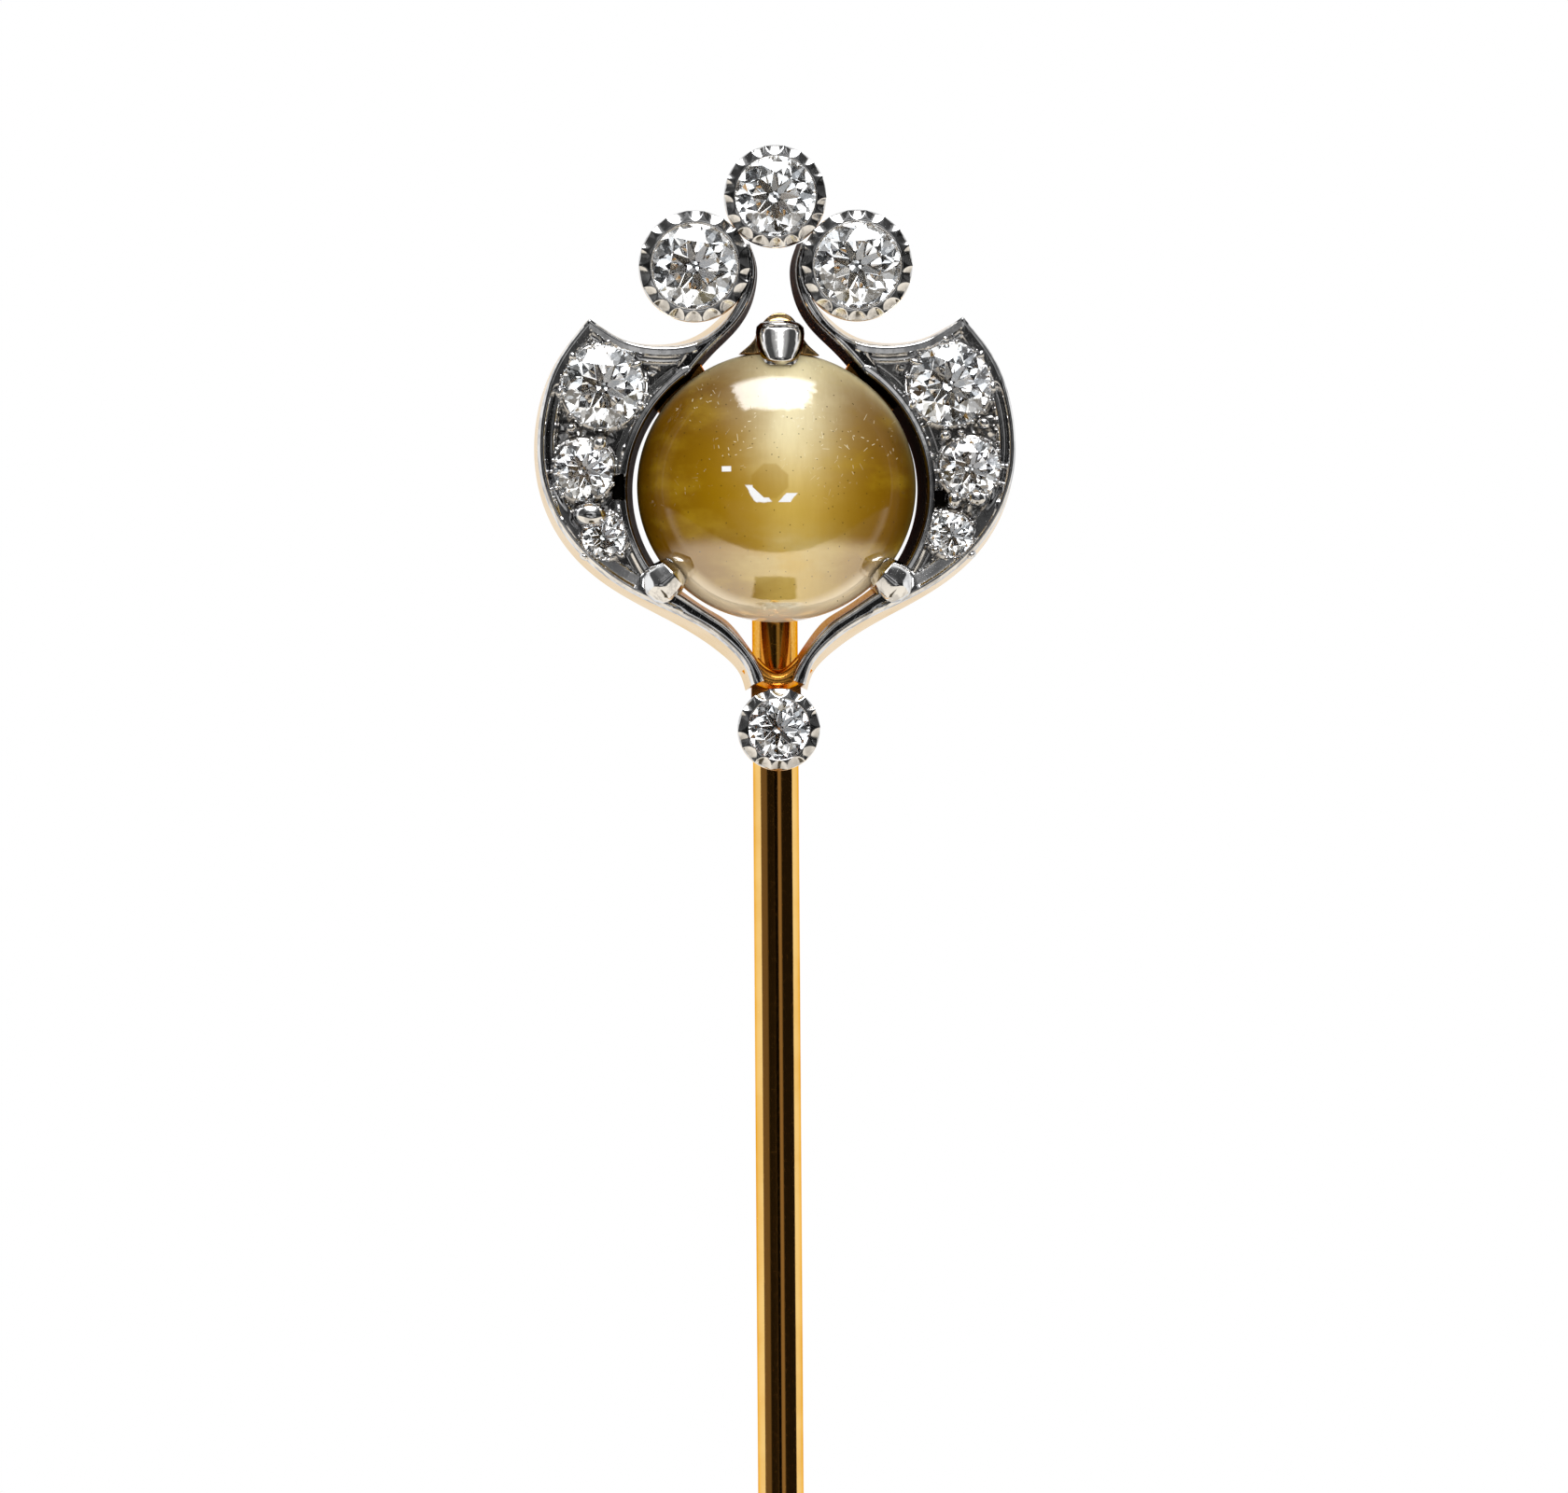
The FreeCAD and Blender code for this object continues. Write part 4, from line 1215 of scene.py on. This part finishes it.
def silky_body(g, place, x, z, reach, ahead_x, lens):
    """The stone's colour, deeper towards its edge, and the band of light, which follows the viewer. The band
    is painted paler and stronger towards the top, as light from above, and weaker inside the lens's dark
    reflection.
    """
    wisps = g.noise(g.stretched(place, (0.5, 0.5, 0.9)), 1.3, 4, 0.55)
    silk = g.noise(g.stretched(place, (3.0, 1.0, 0.5)), 1.6, 3, 0.6)
    body = g.mix(g.step(reach, 0.8, 3.3), (0.36, 0.19, 0.002), (0.18, 0.08, 0.0015))
    body = g.mix(g.step(wisps, 0.45, 0.75) * 0.4, body, (0.52, 0.33, 0.015))
    # Painted shade: the band is weaker inside the lens's dark reflection
    band = g.bell(ahead_x + (wisps - 0.5) * 0.25, 0.16, 0.38) * (0.62 + g.step(lens, 0.16, 0.19) * 0.38)
    # Painted light from above: the band turns paler and stronger towards the top
    upper = g.step(z, -0.9, 1.6)
    band_tint = g.mix(upper, (0.92, 0.66, 0.15), (1.0, 0.88, 0.54))
    band_share = band * (0.42 + upper * 0.50) * (0.8 + silk * 0.4)
    body = g.mix(g.math("MINIMUM", band_share, 1.0), body, band_tint)
    cloudy = g.bell(z, -1.75, 0.7) * g.bell(x, 0.15, 1.5) * g.step(wisps, 0.3, 0.7)
    return g.mix(cloudy * 0.45, body, (0.55, 0.50, 0.30))


def marked_body(g, body, place, x, z, reach):
    """Adds the dark edge at the sides as painted shade, the pale low rim with its foot as painted reflections
    of what lies below, the nicks in the upper polish, real wear painted pale where they catch the light from
    above, and the pits.
    """
    # Painted shade: the edge darkens at the sides
    edge = g.step(reach, 2.8, 3.45) * g.step(z, -1.9, -0.9) * g.step(z, 2.1, 0.9) * 0.62
    body = g.mix(edge, body, (0.04, 0.016, 0.0))
    # Painted reflection: the low rim turns pale
    pale_rim_reflection = g.step(reach, 2.85, 3.15) * g.step(z, -1.5, -2.4)
    body = g.mix(pale_rim_reflection * 0.8, body, (0.74, 0.61, 0.42))
    # Painted reflection: a mottled pale foot at the bottom
    reflection_mottle = g.step(g.noise(place, 9.0, 2), 0.3, 0.7)
    foot = g.bump(x, 0.10, 0.46, 0.3) * g.step(z, -2.88, -2.94)
    body = g.mix(foot * (0.6 + reflection_mottle * 0.4), body, (0.66, 0.57, 0.40))
    scattered = g.scratches(g.join(x, z), 2.6, 0.11, 0.010, 0.55)
    second = g.scratches(g.join(x + 17.3, z + 5.1), 4.2, 0.05, 0.014, 0.75)
    nicks = g.math("MAXIMUM", scattered, second)
    # The nicks are real wear; towards the top they are painted pale, as highlights from the light above
    worn = nicks * g.step(z, -0.8, 0.9) * g.step(g.noise(place, 0.8, 1), 0.46, 0.62)
    body = g.mix(worn * 0.75, body, (0.95, 0.86, 0.60))
    pits = g.scratches(g.join(x + 3.3, z + 23.9), 3.1, 0.022, 0.022, 0.5)
    return g.mix(pits * 0.7, body, (0.06, 0.035, 0.004)), worn


def polish_tint(g, reflected, z):
    """How much the polish returns: more from the card below and the box above than from the open sides."""
    facing_share = g.node("LayerWeight", output="Facing", Blend=0.5)
    fresnel = 0.075 + g.math("POWER", facing_share, 5.0) * 0.9
    low_card = g.step(reflected[2], -0.45, -0.66)
    side_share = g.step(reflected[1], -0.15, 0.0) * g.step(z, -2.3, -1.2) * 0.9
    ahead = g.step(reflected[1], -0.1, -0.3) * g.step(abs(reflected[2]), 0.62, 0.5) * 0.82
    strength = fresnel * ((1.0 - side_share) * (1.0 - ahead) + low_card * 2.5)
    return g.join(strength, strength * (1.0 - low_card * 0.05), strength * (1.0 - low_card * 0.14))


def window_glints(g, reflected, lens):
    """Small bright windows mirrored in the stone: two beside the lens's dark shape and one up on the left."""
    x, y, z = reflected
    ragged = (g.noise(g.join(x, y, z), 16.0, 2) - 0.5) * 0.03
    slanted = x + z * -0.8 + ragged
    sheared = x + z * 0.6 + ragged
    soft = 0.12
    right = g.bump(slanted, 0.20, 0.055, soft) * g.bump(z, -0.105, 0.045, soft)
    left = g.bump(sheared, -0.205, 0.075, soft) * g.bump(z + ragged, -0.065, 0.085, soft)
    high = g.bump(x, -0.47, 0.045, soft) * g.bump(z, 0.19, 0.027, soft)
    return (right + left + high) * g.step(y, 0.0, -0.2) * g.step(lens, 0.160, 0.168)


def lens_distance(g, x, z):
    """Distance from the camera lens's reflection, measured so that a circle comes out as an octagon."""
    across, up = abs(x + 0.056), abs(z - 0.06)
    return g.math("MAXIMUM", g.math("MAXIMUM", across, up), (across + up) * 0.74)


def floor_material():
    material, g = new_material("floor")
    tone = g.mix(g.noise(g.position(), 0.02, 3), (0.80, 0.80, 0.80), (0.84, 0.84, 0.83))
    g.finish("OutputMaterial", g.make("BsdfPrincipled", Base_Color=tone, Roughness=0.9))
    return material


# ---------------------------------------------------------------- light, floor and camera
def studio():
    """A white surround with a soft card below, a soft box above and a dim room in front of the face."""
    world = bpy.data.worlds.new("studio")
    bpy.context.scene.world = world
    g = Graph(world)
    world.cycles.sampling_method = "NONE"
    direction = g.texture_space("Generated")
    x, y, z = g.split(direction)
    light = room_light(g, x, y, z, direction)
    light = g.mix(g.step(y, -0.09, -0.03), light, (0.97, 0.97, 0.97))
    light = g.mix(g.step(z - x * x * 0.5, -0.64, -0.68), light, (1.0, 0.92, 0.80))
    stand = g.bump(x, 0.0, 0.19, 0.10) * g.step(z, -0.87, -0.895) * g.step(y, 0.06, 0.02)
    light = g.mix(stand, light, (0.10, 0.08, 0.05))
    light = g.mix(soft_box(g, x, y, z, direction), light, (9.0, 9.0, 9.0))
    path = g.make("LightPath").outputs
    for kind, seen in (
        ("Is Transmission Ray", sparkle_light(g, direction, y)),
        ("Is Diffuse Ray", WHITE),
        ("Is Camera Ray", WHITE),
    ):
        light = g.mix(Value(g, path[kind]), light, seen)
    g.finish("OutputWorld", g.make("Background", Color=light, Strength=1.0))


def soft_box(g, x, y, z, direction):
    """The box above and in front, narrower towards the horizon and ragged at its edges."""
    ragged = (g.noise(direction, 9.0, 2) - 0.5) * 0.16
    wide = abs(x / g.math("MAXIMUM", z, 0.05))
    return g.step(wide + ragged, 0.42, 0.35) * (g.step(z + ragged * 0.4, 0.75, 0.80) * g.step(y, 0.02, -0.01))


def room_light(g, x, y, z, direction):
    """The dim room in front: upright strips at eye level, a grey ring round the lens, and a pale ceiling."""
    bearing = g.math("ARCTAN2", x, y * -1.0) * (180 / math.pi)
    strips = g.bump(bearing, 13.0, 9.0) * 0.26 + g.bump(bearing, -9.0, 5.0) * 0.04
    strips = strips + g.step(bearing, -44.0, -54.0) * 0.14 + 0.014
    horizon = g.step(abs(z), 0.17, 0.09)
    tilt = g.math("SQRT", x * x + z * z)
    patchy = 0.3 + g.step(g.noise(direction, 2.6, 3, 0.6), 0.38, 0.62) * 1.2
    ring = g.bump(tilt, 0.36, 0.17, 0.35) * 0.42 * patchy
    far = g.step(tilt, 0.5, 0.7) * 0.07
    ceiling = g.step(z, 0.45, 0.75) * g.step(abs(x), 0.60, 0.42) * 0.30
    open_room = (ring + far + ceiling) * (1.0 - horizon)
    past_lens = g.step(lens_distance(g, x, z), 0.16, 0.19) * 0.9 + 0.1
    around = (strips * horizon + open_room) * past_lens
    return g.join(around, around, around)


def sparkle_light(g, direction, y):
    """What the cut stones gather: broad bright and dark patches, and the dark shape of their viewer."""
    patches = g.noise(direction, 2.1, 1, 0.5)
    value = 0.03 + g.step(patches, 0.42, 0.45) * 0.5 + g.step(patches, 0.475, 0.50) * 1.0
    value = value + g.step(patches, 0.56, 0.60) * 1.6
    shaded = g.bump(y, -0.675, 0.09, 0.15) * g.step(patches, 0.60, 0.54) * 0.86
    viewer = g.step(y, -0.93, -0.96) * 0.85
    value = value * (1.0 - shaded) * (1.0 - viewer)
    other = g.noise(g.vector("ADD", direction, (7.3, 1.9, 4.2)), 2.7, 1)
    tint = g.mix(g.step(other, 0.5, 0.56), (1.0, 0.99, 0.97), (0.93, 0.965, 1.0))
    tint = g.mix(g.step(other, 0.73, 0.75), tint, (1.0, 0.62, 0.28))
    return g.mix(1.0, tint, g.join(value, value, value), "MULTIPLY")


def add_floor():
    size, height = 450.0, -58.2
    corners = [(-size, -size, height), (size, -size, height), (size, size, height), (-size, size, height)]
    mesh = bpy.data.meshes.new("floor")
    mesh.from_pydata([[c * MM for c in p] for p in corners], [], [(0, 1, 2, 3)])
    mesh.materials.append(floor_material())
    floor = bpy.data.objects.new("floor", mesh)
    bpy.context.scene.collection.objects.link(floor)
    floor.visible_glossy = floor.visible_transmission = False


def add_camera():
    """A long lens, a few degrees round to the left and rolled a hair."""
    centre_x, centre_z, frame_width, distance_mm = 0.21, 0.59, 39.48, 380.0
    yaw, roll = math.radians(2.5), math.radians(0.4)
    data = bpy.data.cameras.new("camera")
    data.sensor_width = 36.0
    data.lens = data.sensor_width * distance_mm / frame_width
    data.clip_start, data.clip_end = 0.01, 10.0
    camera = bpy.data.objects.new("camera", data)
    bpy.context.scene.collection.objects.link(camera)
    target = Vector((centre_x, 0, centre_z)) * MM
    back = Vector((-math.sin(yaw), -math.cos(yaw), 0))
    camera.location = target + back * distance_mm * MM
    camera.rotation_mode = "QUATERNION"
    camera.rotation_quaternion = Quaternion(back, -roll) @ (-back).to_track_quat("-Z", "Y")
    bpy.context.scene.camera = camera


def set_light_paths():
    scene = bpy.context.scene
    scene.view_settings.view_transform = "Standard"
    scene.cycles.max_bounces = 24
    scene.cycles.glossy_bounces = 16
    scene.cycles.transmission_bounces = 24
    scene.cycles.sample_clamp_indirect = 6.0


# ---------------------------------------------------------------- assembly
def build():
    metals = {name: metal(name) for name in METALS}
    diamond = diamond_material()
    for side in SIDES:
        build_wing(side, metals, diamond)
    for name in COLLET_NAMES:
        rim_node, cup_node = "collet_rim_" + name, "collet_cup_" + name
        make_piece("fluted_rim_" + name, collet_rim(name), metals["aged_platinum"], rim_node)
        make_piece("cup_" + name, collet_cup(name), metals["wing_gold"], cup_node)
        stone_node("diamond_" + name, diamond)
    for name in CLAW_NAMES:
        worn = metals["platinum" if name == "top" else "aged_platinum"]
        make_piece("claw_end_" + name, claw_tip(name), worn, "claw_tip_" + name, sharp=60)
        softened("claw_post_" + name, 0.03, 5, metals["claw_gold"])
    make_piece("cats_eye", cabochon(), cats_eye_material(), "cats_eye_cabochon")
    make_piece("stem_wire", stem(), metals["stem_gold"], "pin_stem")
    gilt = metals["gilt_brass"]
    make_piece("guard_body", guard_barrel(), gilt, "guard_barrel", "guard")
    make_piece("guard_grip_ring", guard_collar(), gilt, "guard_collar", "guard")
    make_piece("tail_web", tail_web(), metals["web_gold"], "tail_bridge")
    for node in ("bearing_ring", "stem_saddle"):
        edge_softened(node, metals["gallery_gold"])
    edge_softened("guard_liner", gilt, 0.02)


def build_wing(side, metals, diamond):
    plate, back = wing_plate(side), wing_backing(side)
    plate.include(wing_grains(side))
    if side == "left":
        plate, back = mirrored(plate), mirrored(back)
    make_piece("wing_plate_" + side, plate, metals["aged_platinum"], "wing_front_" + side)
    make_piece("wing_backing_" + side, back, metals["wing_gold"], "wing_back_" + side)
    edge_softened("gallery_web_" + side, metals["gallery_gold"])
    for size in WING_STONES:
        stone_node(f"wing_diamond_{size}_{side}", diamond)


def stone_node(node, material):
    mesh = dress(node, material).data
    mesh.polygons.foreach_set("use_smooth", [False] * len(mesh.polygons))


build()
studio()
add_floor()
add_camera()
set_light_paths()
